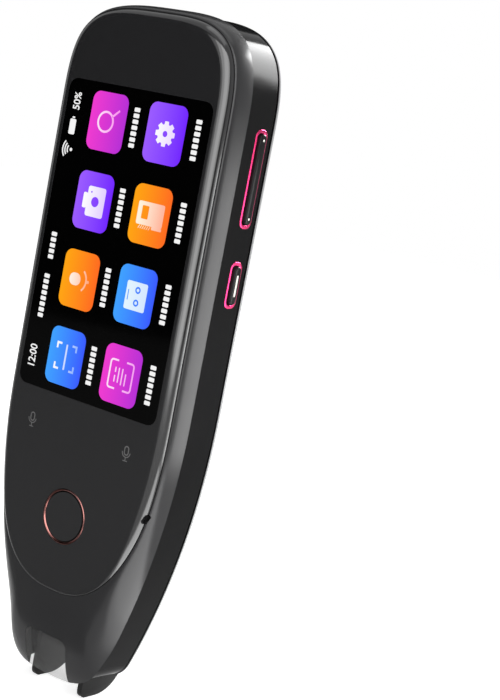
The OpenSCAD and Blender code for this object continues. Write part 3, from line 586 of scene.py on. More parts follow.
def boardMaterial():
    # glass-epoxy board under green solder mask, with buried copper tracks 0.4 mm apart
    material, tree, shader = newMaterial("solderMaskedBoard", {"Roughness": 0.35, "IOR": 1.5})
    place = objectPlace(tree)
    tracks = addNode(tree, "TexBrick", inputs={
        "Vector": (place, "Vector"), "Scale": 1.0, "Mortar Size": 0.08, "Brick Width": 3.2,
        "Row Height": 0.8, "Color1": linearColour("#145A3C"), "Color2": linearColour("#176543"),
        "Mortar": linearColour("#2B8059")})
    tree.links.new(tracks.outputs["Color"], shader.inputs["Base Color"])
    grainBump(tree, shader, place, 0.3, 0.01)
    return material


def flexMaterial():
    # polyimide ribbon with copper tracks along it, 0.5 mm apart
    material, tree, shader = newMaterial("polyimideRibbon", {"Roughness": 0.3, "IOR": 1.6})
    place = objectPlace(tree)
    tracks = addNode(tree, "TexWave", {"bands_direction": "X"}, {"Vector": (place, "Vector"), "Scale": 0.62})
    brown = ramp(tree, (tracks, "Fac"), 0.35, 0.6, (linearColour("#9A5A1C"), linearColour("#C88A3C")))
    tree.links.new(brown.outputs["Color"], shader.inputs["Base Color"])
    return material


lensGlass = lensMaterial()
boardEpoxy = boardMaterial()
ribbon = flexMaterial()


def glowMaterial(name, colours, span=None):
    # lit picture elements behind the cover glass; a tile shades from its left edge to its right edge
    material, tree, shader = newMaterial(name, {
        "Base Color": linearColour("#000000"), "Roughness": 0.3, "Specular IOR Level": 0.1,
        "Emission Color": linearColour(colours[0]), "Emission Strength": 1.0})
    if span:
        place = objectPlace(tree)
        split = addNode(tree, "SeparateXYZ", inputs={"Vector": (place, "Vector")})
        share = addNode(tree, "MapRange", inputs={
            "Value": (split, "X"), "From Min": span[0], "From Max": span[1]})
        shade = ramp(tree, (share, "Result"), 0.0, 1.0, [linearColour(c) for c in colours])
        tree.links.new(shade.outputs["Color"], shader.inputs["Emission Color"])
    return material


slotMaterials = {
    "housing": housingAbs, "panel": panelGlass, "nose_glass": noseClear, "band": bandAbs,
    "cover": coverLacquer, "screen": screenGlass, "foam": foamRubber, "polyimide": ribbon,
    "camera_ring": cameraAluminium, "camera_glass": cameraGlass, "lens": lensGlass,
    "black_plastic": blackAbs, "steel": plateSteel, "board": boardEpoxy, "chip": chipEpoxy,
    "gold": contactGold, "cell": cellFoil, "white_plastic": whiteAbs, "lead": leadRubber,
    "trim": trimAluminium, "ring": ringAluminium, "key": keyAbs, "foot": footAbs,
}
for subpart in frame["record"]["subparts"]:
    node = frame["nodes"][subpart["node"]]
    node.data.materials.clear()
    node.data.materials.append(slotMaterials[subpart["material_slot"]])
print("Materials made")


# Front housing: the bezel's lip runs round the panel and opens into the rounded nose

housing = {
    "rings": 22, "hollowRings": 12, "wall": 1.3, "lip": 0.12, "lipTurn": 20, "plug": 1.9, "inside": 1.75,
    "plugDepth": 9, "micHeight": 5.6, "micWide": 0.95, "micLong": 2.2, "micTurn": 22, "micInset": 0.25,
}
window = {"half": 5.9, "high": 9.5, "corner": 1.6, "gap": 0.04}
homeKey = {"ring": 5.85, "ringWidth": 0.58, "hole": 6.4}


def noseRings(start, end, depthsFrom, depthsTo, steps):
    # a quarter of an ellipse that meets the band at a small angle, so that the lip keeps a crisp edge
    first = math.radians(housing["lipTurn"])
    rings = []
    for step in range(steps + 1):
        turn = first + (math.pi / 2 - first) * step / steps
        rise = (math.sin(turn) - math.sin(first)) / (1 - math.sin(first))
        depths = [low + (high - low) * rise for low, high in zip(depthsFrom, depthsTo)]
        rings.append(ringAt(between(start, end, 1 - math.cos(turn) / math.cos(first)), depths))
    return rings


def noseForm(name):
    # the form goes on behind the joint as a plug, which the hollow takes away again
    pocket, plug = moveIn(panelEdge, -panel["gap"]), moveIn(edgeOutline, housing["plug"])
    rings = [ringAt(plug, housing["plugDepth"]), ringAt(plug, edgeDepths),
             ringAt(moveIn(edgeOutline, housing["lip"]), edgeDepths)]
    lipDepths = [depth - housing["lip"] for depth in edgeDepths]
    rings += noseRings(edgeOutline, pocket, lipDepths, seamDepths, housing["rings"])
    rings += [ringAt(pocket, panel["thickness"])]
    return loft(name, rings)


def noseHollow():
    outer, inner = (moveIn(outline, housing["wall"]) for outline in (edgeOutline, panelEdge))
    behind = [bezelDepth(z) + 1 for x, z in outer]
    front = [panel["seamLowDepth"] + housing["wall"]] * len(outer)
    rings = [ringAt(outer, housing["plugDepth"] + 2)]
    rings += noseRings(outer, inner, behind, front, housing["hollowRings"])
    keep = block("keep", -pen["reach"], pen["reach"], pen["tip"] - 1, pen["noseTop"],
                 0, housing["plugDepth"] + 1)
    return combine(loft("hollow", rings), keep, "INTERSECT")


def windowOutline(gap):
    high = pen["tip"] + window["high"] + gap
    return arch(window["half"] + gap, high, window["corner"], pen["tip"] - 2)


def micPlace():
    z = housing["micHeight"]
    turn = math.atan2(halfWidth(z), pen["bendHeight"] - z)
    return panelReach(turn) * math.sin(turn) - housing["micInset"]


def micNotch(side, shift, depthFrom, depthTo):
    # a slot along the seam, leaning with it
    lean = math.radians(-side * housing["micTurn"])
    slot = roundedBox(housing["micWide"], housing["micLong"], housing["micWide"] / 2 - 0.01)
    outline = [(side * (micPlace() + shift) + x * math.cos(lean) - z * math.sin(lean),
                housing["micHeight"] + x * math.sin(lean) + z * math.cos(lean)) for x, z in slot]
    return prism("micNotch", outline, depthFrom, depthTo)


def frontHousing():
    piece = noseForm("frontHousing")
    screenLow, screenHigh = (corner * 1000 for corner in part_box("display_module"))
    deep = housing["plugDepth"] + 1
    cutters = [block("opening", screenLow.x, screenHigh.x, screenLow.z, screenHigh.z, 0, deep),
               rod("homeHole", 0, 0, homeKey["hole"], -1, deep),
               prism("windowHole", windowOutline(window["gap"]), -1, deep)]
    cutters += [micNotch(side, 0, 0.3, deep) for side in (-1, 1)]
    combine(piece, noseHollow())
    combine(piece, prism("inside", moveIn(edgeOutline, housing["inside"]), pen["deckDepth"], deep))
    combine(piece, joinPieces(cutters, "cutters"))
    return finishPiece(piece, "frontHousing", "pen", housingAbs, ["front_housing"], 32)


def noseWindow():
    piece = noseForm("noseWindow")
    combine(piece, prism("keep", windowOutline(0), -1, housing["plugDepth"] + 1), "INTERSECT")
    combine(piece, noseHollow())
    finishPiece(piece, "noseWindow", "pen", noseClear, ["nose_window"], 32)
    piece.data.materials.append(blackAbs)  # the rim that faces the housing
    for face in piece.data.polygons:
        beside = abs(face.center.x) * 1000 > window["half"] - 0.1 and abs(face.normal.z) < 0.99
        above = face.center.z * 1000 > pen["tip"] + window["high"] - window["corner"]
        if abs(face.normal.y) < 0.02 and (beside or above):
            face.material_index = 1


frontHousing()
noseWindow()


# Front panel: 2.5D glass, with a rounded edge that gets narrower towards the nose

def frontPanel():
    low = panel["roundedLow"]
    rounding = [panel["roundedEdge"] * (low + (1 - low) * share) for share in seamShares]
    rings = [ringAt(panelEdge, panel["thickness"])]
    for turn in quarterTurns(panel["rings"]):
        outline = moveIn(panelEdge, [radius * (1 - math.cos(turn)) for radius in rounding])
        rings.append(ringAt(outline, [depth * (1 - math.sin(turn)) for depth in seamDepths]))
    piece = loft("frontPanel", rings)
    cutters = [rod("ringHole", 0, 0, homeKey["ring"] + 0.02, -1, 3)]
    cutters += [micNotch(side, 0.1, -1, 3) for side in (-1, 1)]
    combine(piece, joinPieces(cutters, "cutters"))
    return finishPiece(piece, "frontPanel", "pen", panelGlass, ["front_panel"], 32)


frontPanel()


# Side band: matte wall with the key slots, the port's recess and a groove beside the back cover

band = {"step": 0.3, "wall": 1.6, "groove": 0.3, "grooveDeep": 0.4, "footGap": 0.6, "edge": 0.1,
        "deck": 1, "deckGap": 0.02, "deckOverlap": 0.1, "stemHole": 2.6}
foot = {
    "half": 7.5, "wall": 1.3, "corner": 3.2, "high": 13, "front": 7.0, "back": 19.2, "toeDeep": 1.4,
    "toeHigh": 1.6, "heelDeep": 7.8, "heelHigh": 7.2, "steps": 14, "bevel": 0.22, "earHalf": 11.1,
    "earDepth": 11, "earDeep": 1.4, "earLow": 7.9, "earThick": 1.5, "earOverlap": 0.3,
}
sideKeys = {
    "depth": 11.7, "trimWidth": 3.7, "trimWall": 0.75, "corner": 1.5, "proud": 0.7, "gap": 0.12,
    "trimProud": 0.06, "slotGap": 0.02,
    "volume": {"height": 76, "length": 20, "deep": 2.9},
    "power": {"height": 54.5, "length": 9.6, "deep": 2.65},
}
port = {"height": 30.4, "depth": 9.6, "length": 12.1, "deep": 0.9, "flat": 2.6, "round": 2.6,
        "straight": 1.2, "roundShare": 0.92, "mouthWide": 3.3, "mouthLong": 9.04, "mouthCorner": 1.6}


def bandFace(z):
    return halfWidth(z) - band["step"]


def keyOutline(height, length, width, corner):
    return roundedBox(width, length, corner, 8, (sideKeys["depth"], height))


def portOutline():
    # flat on the cover's side with short straight ends, and bulging on the panel's side
    half, flat = port["length"] / 2, port["depth"] + port["flat"]
    straight, reach = flat - port["straight"], half * port["roundShare"] / math.sin(math.radians(50))
    curve = [(port["depth"] - port["round"] * math.cos(math.radians(a * 1.1)),
              reach * math.sin(math.radians(a))) for a in range(-50, 51, 5)]
    outline = [(flat, half), (flat, -half), (straight, -half)] + curve + [(straight, half)]
    return [(depth, port["height"] + z) for depth, z in outline]


def frameDeck():
    # the deck behind the display, in one piece with the band
    front = pen["deckDepth"] + band["deckGap"]
    outline = moveIn(edgeOutline, band["step"] + band["wall"] - band["deckOverlap"])
    deck = prism("deck", outline, front, front + band["deck"])
    tools = [block("below", -pen["reach"], pen["reach"], pen["tip"] - 9, pen["noseTop"], 0, 9),
             rod("stemHole", 0, 0, band["stemHole"], 0, 9)]
    return combine(deck, joinPieces(tools, "tools"))


def sideBand():
    outer = moveIn(edgeOutline, band["step"])
    inner = moveIn(edgeOutline, band["step"] + band["wall"])
    groove = moveIn(edgeOutline, band["step"] + band["grooveDeep"])
    back = pen["coverDepth"]
    step = back - band["groove"]
    steps = [(outer, edgeDepths), (outer, step), (groove, step), (groove, back), (inner, back),
             (inner, edgeDepths), (outer, edgeDepths)]
    piece = loft("sideBand", [ringAt(outline, depth) for outline, depth in steps], hollow=True)
    gap = foot["half"] + band["footGap"]
    cutters = [block("footGap", -gap, gap, pen["tip"] - 1, pen["tip"] + foot["high"],
                     pen["deckDepth"] - 1, back + 1)]
    for key in (sideKeys["volume"], sideKeys["power"]):
        x, clear = bandFace(key["height"]), sideKeys["slotGap"]
        outline = keyOutline(key["height"], key["length"] + clear, sideKeys["trimWidth"] + clear,
                             sideKeys["corner"])
        cutters.append(sidePrism("slot", outline, x - band["wall"] - 1, x + 1))
    x = -(bandFace(port["height"]) - port["deep"])
    cutters.append(sidePrism("recess", portOutline(), x - 3, x))
    mouth = roundedBox(port["mouthWide"], port["mouthLong"], port["mouthCorner"], 8,
                       (port["depth"], port["height"]))
    cutters.append(sidePrism("mouth", mouth, x - 1, x + band["wall"] + 1))
    combine(piece, joinPieces(cutters, "cutters"))
    roundEdges(piece, band["edge"], 2, 50)
    joined = joinPieces([piece, frameDeck()], "sideBand")
    return finishPiece(joined, "sideBand", "pen", bandAbs, ["mid_frame"], 20)


sideBand()


# Back cover: round shoulders and a flat middle, with sound holes, the camera's hole and the foot's arch

cover = {
    "step": 0.1, "wall": 1.3, "flatShare": 0.42, "middle": 30, "topShoulder": 13, "lowSlope": 27.7,
    "rings": 26, "cameraHeight": 75.1, "cameraRadius": 5.5, "cameraGap": 0.02, "holeRadius": 0.36,
    "holeRows": (9.8, 11.3, 12.8), "holeTurn": 9.67, "holeFrom": 14, "archGap": 0.6, "archFlare": 1.4,
    "archHigh": 15, "archCorner": 4.4, "archFrom": 12, "behind": 21,
}


def flatPlace(x, z):
    middle = cover["middle"]
    end, flatEnd = ((pen["top"], pen["top"] - cover["topShoulder"]) if z > middle
                    else (pen["tip"], pen["tip"] + cover["lowSlope"]))
    return x * cover["flatShare"], middle + (z - middle) * (flatEnd - middle) / (end - middle)


def coverForm(name, inset, wall, startDepth):
    outer = moveIn(edgeOutline, inset)
    flat = [flatPlace(x, z) for x, z in edgeOutline]
    high = pen["backDepth"] - wall
    rings = [ringAt(outer, startDepth)] if startDepth < pen["coverDepth"] else []
    for turn in quarterTurns(cover["rings"]):
        depth = pen["coverDepth"] + (high - pen["coverDepth"]) * math.sin(turn)
        rings.append(ringAt(between(outer, flat, 1 - math.cos(turn)), depth))
    return loft(name, rings)


def backCover():
    piece = coverForm("backCover", cover["step"], 0, pen["coverDepth"])
    combine(piece, coverForm("hollow", cover["wall"], cover["wall"], pen["coverDepth"] - 1))
    height, start, end = cover["cameraHeight"], cover["holeFrom"], cover["behind"]
    cutters = [rod("cameraHole", 0, height, cover["cameraRadius"] + cover["cameraGap"], start, end, 96)]
    for row in cover["holeRows"]:
        for step in range(-3, 4):
            turn = math.radians(step * cover["holeTurn"])
            cutters.append(rod("soundHole", row * math.sin(turn), height + row * math.cos(turn),
                               cover["holeRadius"], start, end, 20))
    outline = arch(foot["half"] + cover["archGap"], pen["tip"] + cover["archHigh"], cover["archCorner"],
                   pen["tip"] - 2, cover["archFlare"], 12)
    cutters.append(prism("archCut", outline, cover["archFrom"], end))
    combine(piece, joinPieces(cutters, "cutters"))
    return finishPiece(piece, "backCover", "pen", coverLacquer, ["back_cover"], 32)


backCover()


# Scanning foot: a hood with two blades, and a bright bevelled rim at the back

def scanFoot():
    top, low, wall = pen["tip"] + foot["high"], footLow.z, foot["wall"]
    outside = arch(foot["half"], top, foot["corner"], low - 1, 0, 12)
    inside = arch(foot["half"] - wall, top - wall, foot["corner"] - wall, low - 2, 0, 12)
    hood = prism("scanFoot", outside, foot["front"], foot["back"])
    combine(hood, prism("mouth", inside, foot["front"] - 1, foot["back"] + 1))
    toe, heel = foot["front"] + foot["toeDeep"], foot["back"] - foot["heelDeep"]
    quarter = quarterTurns(foot["steps"])
    profile = [(foot["front"], top + 1)]
    profile += [(toe - foot["toeDeep"] * math.cos(t), low + foot["toeHigh"] * (1 - math.sin(t)))
                for t in quarter]
    profile += [(heel + foot["heelDeep"] * math.cos(t), low + foot["heelHigh"] * (1 - math.sin(t)))
                for t in reversed(quarter)]
    profile += [(foot["back"], top + 1)]
    combine(hood, sidePrism("profile", profile, -foot["half"] - 1, foot["half"] + 1), "INTERSECT")
    roundEdges(hood, foot["bevel"], 3, 50)
    ears = []
    for side in (-1, 1):
        inner, outer = side * (foot["half"] - foot["earOverlap"]), side * foot["earHalf"]
        low = pen["tip"] + foot["earLow"]
        ears.append(block("ear", inner, outer, low, low + foot["earThick"],
                          foot["earDepth"] - foot["earDeep"], foot["earDepth"] + foot["earDeep"]))
    combine(hood, joinPieces(ears, "ears"), "UNION")
    finishPiece(hood, "scanFoot", "foot", footAbs, ["scan_foot"], 20)
    hood.data.materials.append(rimMetal)  # the rim that shows at the back
    for face in hood.data.polygons:
        if face.normal.y > 0.35 and face.center.y * 1000 - frontY > foot["earDepth"] + 3:
            face.material_index = 1


scanFoot()


# Side keys and the coloured rings round them

def sideKey(name, key, body, node):
    x = bandFace(key["height"])
    width = sideKeys["trimWidth"] - 2 * sideKeys["trimWall"] - 2 * sideKeys["gap"]
    length = key["length"] - 2 * sideKeys["trimWall"] - 2 * sideKeys["gap"]
    outline = keyOutline(key["height"], length, width, width / 2 - 0.02)
    cap = sidePrism(name, outline, x - key["deep"], x + sideKeys["proud"])
    roundEdges(cap, 0.3, 4, 50)
    return finishPiece(cap, name, body, keyAbs, [node], 32)


def keyTrim(name, key, node):
    x, wall = bandFace(key["height"]), sideKeys["trimWall"]
    low, high = x - band["wall"], x + sideKeys["trimProud"]
    outer = keyOutline(key["height"], key["length"], sideKeys["trimWidth"], sideKeys["corner"])
    inner = keyOutline(key["height"], key["length"] - 2 * wall, sideKeys["trimWidth"] - 2 * wall,
                       sideKeys["corner"] - wall)
    steps = [(outer, low), (outer, high), (inner, high), (inner, low), (outer, low)]
    piece = loft(name, [sideRing(outline, side) for outline, side in steps], hollow=True)
    roundEdges(piece, 0.12, 3, 50)
    return finishPiece(piece, name, "pen", trimAluminium, [node], 40)


sideKey("volumeRocker", sideKeys["volume"], "rocker", "volume_rocker")
sideKey("powerButton", sideKeys["power"], "power_key", "power_button")
keyTrim("volumeTrim", sideKeys["volume"], "volume_trim")
keyTrim("powerTrim", sideKeys["power"], "power_trim")


def keyMarks():
    # moulded-in white marks: a dot near each end of the rocker and a line on the power key
    for name, key, body, marks in (("volumeMarks", "volume", "rocker", ((7.9, 0.5), (-7.9, 0.5))),
                                   ("powerMark", "power", "power_key", ((0, 4.4),))):
        height = sideKeys[key]["height"]
        x = bandFace(height) + sideKeys["proud"]
        pieces = [sidePrism(name, roundedBox(0.5, long, 0.24, 6, (sideKeys["depth"], height + z)),
                            x - 0.1, x + 0.02) for z, long in marks]
        finishPiece(joinPieces(pieces, name), name, body, whiteAbs)


keyMarks()


# Home key and its ring

def homeRing():
    # each step is a radius and a depth: a low crown that slopes inwards to the key
    outer, inner, base = homeKey["ring"], homeKey["ring"] - homeKey["ringWidth"], panel["thickness"]
    profile = [(outer, base), (outer, 0.12), (outer - 0.08, 0.02), (outer - 0.2, -0.02),
               (inner + 0.18, 0.06), (inner + 0.04, 0.2), (inner, 0.4), (inner, base), (outer, base)]
    rings = [ringAt(disc(0, 0, radius, 96), depth) for radius, depth in profile]
    piece = loft("homeRing", rings, hollow=True)
    return finishPiece(piece, "homeRing", "pen", ringAluminium, ["home_ring"], 40)


homeRing()


# Lit screen: eight tiles with signs, a row of equal blocks beside each, and a status line with plain numbers

screen = {
    "half": 19.45, "low": 24.4, "high": 89.2, "corner": 2.2, "front": -0.02, "step": 0.02,
    "columns": ((-12.2, -2.4), (3.4, 13.4)), "rows": (81.5, 65.1, 48.7, 32.3), "tileHeight": 12,
    "tileCorner": 1.9, "labelColumns": (0.9, 17.2), "white": "#F4F4F4", "blocks": 7, "blockWide": 0.85,
    "blockHigh": 1.5, "blockGap": 0.35,
}
status = {
    # figures, their lower end, their size and how far they are stretched
    "clock": ("12:00", 28.0, 2.75, 0.82), "charge": ("50%", 82.7, 2.6, 0.85),
    "line": -15.7, "thickness": 0.02,
    "rows": ((43.5, 8), (54.2, 5)), "signal": 74.5, "signalArcs": (0.9, 1.55, 2.2), "battery": 77.6,
}


def arcBand(x, z, inner, outer, start, end, steps=14):
    sweep = [math.radians(start + (end - start) * step / steps) for step in range(steps + 1)]
    return ([(x + outer * math.cos(t), z + outer * math.sin(t)) for t in sweep]
            + [(x + inner * math.cos(t), z + inner * math.sin(t)) for t in reversed(sweep)])


def slab(xFrom, xTo, zFrom, zTo, corner=0.15):
    return roundedBox(xTo - xFrom, zTo - zFrom, corner, 3, ((xFrom + xTo) / 2, (zFrom + zTo) / 2))


def stroke(start, end, width):
    along = (Vector(end) - Vector(start)).normalized() * width / 2
    aside = Vector((-along.y, along.x))
    return [tuple(Vector(start) + aside), tuple(Vector(start) - aside),
            tuple(Vector(end) - aside), tuple(Vector(end) + aside)]


def gear(x, z):
    sizes = {"teeth": 8, "outer": 2.55, "root": 1.95, "hole": 0.62}
    tooth = ((-0.30, sizes["root"]), (-0.19, sizes["outer"]), (0.19, sizes["outer"]), (0.30, sizes["root"]))
    outline = []
    for order in range(sizes["teeth"]):
        middle = 2 * math.pi * order / sizes["teeth"]
        outline += [(x + radius * math.cos(middle + turn), z + radius * math.sin(middle + turn))
                    for turn, radius in tooth]
    return [outline, disc(x, z, sizes["hole"], 20)]


def magnifier(x, z):
    return [disc(x - 0.5, z, 2.25, 40), disc(x - 0.5, z, 1.8, 40),
            stroke((x + 1.1, z + 1.2), (x + 2.9, z + 2.7), 0.42)]


def cameraSign(x, z):
    return [slab(x - 1.8, x + 3.1, z - 3.1, z + 3.1, 0.5), slab(x - 2.9, x - 1.81, z - 1.6, z + 1.6, 0.3),
            disc(x + 0.5, z, 1.05, 24), slab(x - 1.0, x - 0.6, z + 1.7, z + 2.1, 0.15)]


def book(x, z):
    marks = [stroke((x - 2.6 + k * 0.55, z - 2.9), (x - 2.2 + k * 0.55, z - 2.2), 0.14) for k in range(6)]
    return [slab(x - 3.4, x + 3.5, z - 2.1, z + 2.6, 0.4), slab(x - 2.3, x - 0.5, z - 0.9, z + 1.8, 0.2),
            slab(x + 0.9, x + 3.5, z - 2.7, z - 2.1, 0.15)] + marks


def microphone(x, z):
    return [roundedBox(3.1, 2.6, 1.28, 8, (x - 1.2, z)), arcBand(x - 0.6, z, 2.35, 2.75, -52, 52),
            slab(x + 2.1, x + 2.75, z - 0.3, z + 0.3, 0.2)]


def cassette(x, z):
    holes = [disc(x + 0.45, z + side * 1.3, radius, sides)
             for side in (-1, 1) for radius, sides in ((0.72, 24), (0.35, 16))]
    body = slab(x - 2.6, x + 2.9, z - 2.9, z + 2.9, 0.4)
    return [body, slab(x - 2.1, x - 1.85, z - 1.1, z + 1.1, 0.1)] + holes


def scanMarks(x, z):
    # four corners of a frame, and a line across its middle
    out = 2.9
    thin, far = out - 0.45, out - 1.4
    corner = ((out, out), (out, far), (thin, far), (thin, thin), (far, thin), (far, out))
    marks = [slab(x - 0.22, x + 0.22, z - 2.7, z + 2.7)]
    marks += [[(x + sx * px, z + sz * pz) for px, pz in corner] for sx in (-1, 1) for sz in (-1, 1)]
    return marks


def bracket(x, z, side, sizes):
    # one closed outline: along the outer edge with its two round corners, and back along the inner edge
    outline = []
    for inset in (0, sizes["edge"]):
        reach, bend = sizes["out"] - sizes["radius"], sizes["high"] - sizes["radius"]
        radius = sizes["radius"] - inset
        part = [(x + side * sizes["open"], z + sizes["high"] - inset)]
        part += [(x + side * (reach + radius * math.sin(turn)), z + bend + radius * math.cos(turn))
                 for turn in quarterTurns(6)]
        part += [(px, 2 * z - pz) for px, pz in reversed(part)]
        outline += part if not inset else reversed(part)
    return outline


def textFrame(x, z):
    sizes = {"out": 3.3, "high": 3.1, "open": 1.1, "edge": 0.38, "radius": 0.8}
    marks = [bracket(x, z, side, sizes) for side in (-1, 1)]
    marks += [slab(x - 1.7 + k * 0.95, x - 1.4 + k * 0.95, z - low, z + high, 0.1)
              for k, (low, high) in enumerate(((1.6, -0.2), (1.6, 1.5), (1.9, 1.5), (1.9, 0.6)))]
    marks += [slab(x - 1.7, x - 1.4, z + 0.4, z + 1.5, 0.1)]
    return marks


tiles = (
    {"name": "lookUp", "column": 0, "row": 0, "back": ("#F03BD0", "#B62FD6"), "sign": magnifier,
     "front": ("#FFE6FC", "#FF92F0")},
    {"name": "settings", "column": 1, "row": 0, "back": ("#9B5CFF", "#7226FF"), "sign": gear,
     "front": ("#FFFFFF", "#E9D6FF")},
    {"name": "photo", "column": 0, "row": 1, "back": ("#9B5CFF", "#7226FF"), "sign": cameraSign,
     "front": ("#FFFFFF", "#E3D0FF")},
    {"name": "words", "column": 1, "row": 1, "back": ("#FFA50F", "#FF6A1F"), "sign": book,
     "front": ("#FFF3DC", "#FFB9A0")},
    {"name": "voice", "column": 0, "row": 2, "back": ("#FFA50F", "#FF6A1F"), "sign": microphone,
     "front": ("#FFF6E8", "#FFA77A")},
    {"name": "recorder", "column": 1, "row": 2, "back": ("#3FA2FF", "#3A5BFF"), "sign": cassette,
     "front": ("#E4F6FF", "#D5E6FF")},
    {"name": "scan", "column": 0, "row": 3, "back": ("#3FA2FF", "#3A5BFF"), "sign": scanMarks,
     "front": ("#FFFFFF", "#8FB4FF")},
    {"name": "extract", "column": 1, "row": 3, "back": ("#F03BD0", "#B62FD6"), "sign": textFrame,
     "front": ("#FFE0FA", "#F9A6F2")},
)


def blockRow(line, middle, count):
    # equal plain blocks stand in the place of words, so nothing is written on the screen
    pitch = screen["blockWide"] + screen["blockGap"]
    first = middle - (count * pitch - screen["blockGap"]) / 2
    starts = [first + k * pitch for k in range(count)]
    return [slab(line - screen["blockHigh"], line, low, low + screen["blockWide"], 0.2) for low in starts]


def statusLine(material):
    line, depth = status["line"], screen["front"] - screen["step"]
    pieces = []
    for name in ("clock", "charge"):
        figures, z, size, stretch = status[name]
        pieces.append(numbers(name, figures, line, z, size, stretch, depth, status["thickness"]))
    marks = [mark for place, count in status["rows"] for mark in blockRow(line, place, count)]
    low = status["battery"]
    marks += [slab(line - 1.9, line - 0.2, low, low + 3.2, 0.3)]
    marks += [slab(line - 1.4, line - 0.7, low + 3.35, low + 3.7, 0.1)]
    marks += [arcBand(line - 0.3, status["signal"], radius, radius + 0.32, 138, 222, 8)
              for radius in status["signalArcs"]]
    marks += [disc(line - 0.3, status["signal"], 0.36, 12)]
    pieces.append(flatPiece("statusMarks", marks, depth, status["thickness"]))
    finishPiece(joinPieces(pieces, "statusLine"), "statusLine", "pen", material)


def litScreen():
    front, step, height = screen["front"], screen["step"], screen["high"] - screen["low"]
    middle = (screen["low"] + screen["high"]) / 2
    outline = roundedBox(2 * screen["half"], height, screen["corner"], 6, (0, middle))
    finishPiece(flatPiece("screenPlate", [outline], front, 0.3), "screenPlate", "pen", screenGlass,
                ["display_module"])
    white = glowMaterial("whitePixels", (screen["white"],))
    labels = []
    for tile in tiles:
        name = tile["name"]
        left, right = screen["columns"][tile["column"]]
        x, z = (left + right) / 2, screen["rows"][tile["row"]]
        outline = roundedBox(right - left, screen["tileHeight"], screen["tileCorner"], 8, (x, z))
        for part, pixels, outlines, depth, colours, span in (
                ("Tile", "Pixels", [outline], front - step, tile["back"], (left, right)),
                ("Sign", "SignPixels", tile["sign"](x, z), front - 2 * step, tile["front"], (x - 3, x + 3))):
            piece = flatPiece(name + part, outlines, depth)
            finishPiece(piece, name + part, "pen", glowMaterial(name + pixels, colours, span))
        labels += blockRow(screen["labelColumns"][tile["column"]], z, screen["blocks"])
    finishPiece(flatPiece("labels", labels, front - step), "labels", "pen", white)
    statusLine(white)


litScreen()


# Small grey microphone signs above the microphone holes

def micSigns():
    sign = {"x": 13.5, "z": 17.6, "colour": "#5A5A5A"}
    outlines = []
    for x, z in ((-sign["x"], sign["z"]), (sign["x"], sign["z"])):
        outlines += [roundedBox(1.3, 2.0, 0.64, 6, (x, z + 0.4)), roundedBox(0.8, 1.5, 0.39, 6, (x, z + 0.4)),
                     arcBand(x, z + 0.1, 0.95, 1.15, 180, 360, 12),
                     slab(x - 0.1, x + 0.1, z - 1.6, z - 1.06, 0.05),
                     slab(x - 0.6, x + 0.6, z - 1.8, z - 1.61, 0.05)]
    # screen-printed ink: flat and dull beside the glass
    ink = plasticMaterial("greyScreenInk", {
        "colour": sign["colour"], "grain": 0.1, "grainHeight": 0.001, "gloss": (0.4, 0.5)})
    finishPiece(flatPiece("micSigns", outlines, -0.02), "micSigns", "pen", ink)


micSigns()
frame["nodes"]["home_button"].data.materials[0] = panelGlass
print("Pieces made")


# Stage: white floor and surround, cards for the reflections, and soft lamps. Its sizes are in metres

stage = {"floorSize": 3.0, "floorColour": "#E8E8E8", "floorGlow": 0.65, "skyLevel": 0.42}
floorHeight = footLow.z / 1000
penMiddle = Vector((0, 0, 0.035))


def seenRays(tree):
    # 1 for the rays that show a surface: straight, in a reflection or through glass
    path = addNode(tree, "LightPath")
    seen = addNode(tree, "Math", {"operation": "MAXIMUM"}, {
        0: (path, "Is Camera Ray"), 1: (path, "Is Glossy Ray")})
    return addNode(tree, "Math", {"operation": "MAXIMUM"}, {0: (seen, 0), 1: (path, "Is Transmission Ray")})


def whiteWorld():
    world = bpy.data.worlds.new("softBoxRoom")
    bpy.context.scene.world = world
    world.use_nodes = True
    tree = world.node_tree
    tree.nodes.clear()
    level = addNode(tree, "MapRange", inputs={
        "Value": (seenRays(tree), 0), "To Min": stage["skyLevel"], "To Max": 1.0})
    sky = addNode(tree, "Background", inputs={"Color": (1, 1, 1, 1), "Strength": (level, "Result")})
    addNode(tree, "OutputWorld", inputs={"Surface": (sky, "Background")})


def stagePlane(name, material, place, size, turned=(0, 0, 0)):
    deselectAll()
    bpy.ops.mesh.primitive_plane_add(size=1, location=place, rotation=turned)
    plane = bpy.context.object
    plane.name = name
    plane.scale = (*size, 1)
    plane.data.materials.append(material)
    return plane


def whiteFloor():
    material, tree, shader = newMaterial("paperSweep", {
        "Base Color": linearColour(stage["floorColour"]), "Roughness": 0.9, "Specular IOR Level": 0.1,
        "Emission Color": (1, 1, 1, 1)})
    glow = addNode(tree, "Math", {"operation": "MULTIPLY"}, {0: (seenRays(tree), 0), 1: stage["floorGlow"]})
    tree.links.new(glow.outputs[0], shader.inputs["Emission Strength"])
    stagePlane("floor", material, (0, 0, floorHeight - 0.0001), (stage["floorSize"], stage["floorSize"]))


def clothCard(name, colour, place, size, turned=(0, 0, 0)):
    # only mirror-like reflections see it, like the cards that a studio stands beside a glossy object
    cloth, tree, shader = newMaterial(name + "Cloth", {
        "Base Color": linearColour(colour), "Roughness": 1.0, "Specular IOR Level": 0.0})
    card = stagePlane(name, cloth, place, size, turned)
    card.visible_camera = card.visible_diffuse = card.visible_shadow = card.visible_transmission = False


def standingCard(name, turn, width, far, low, high):
    # width is the angle that the card fills, seen from the pen
    turn = math.radians(turn)
    place = (far * math.sin(turn), far * math.cos(turn), (low + high) / 2)
    size = (2 * far * math.tan(math.radians(width / 2)), high - low)
    clothCard(name, "#101010", place, size, (math.pi / 2, 0, -turn))


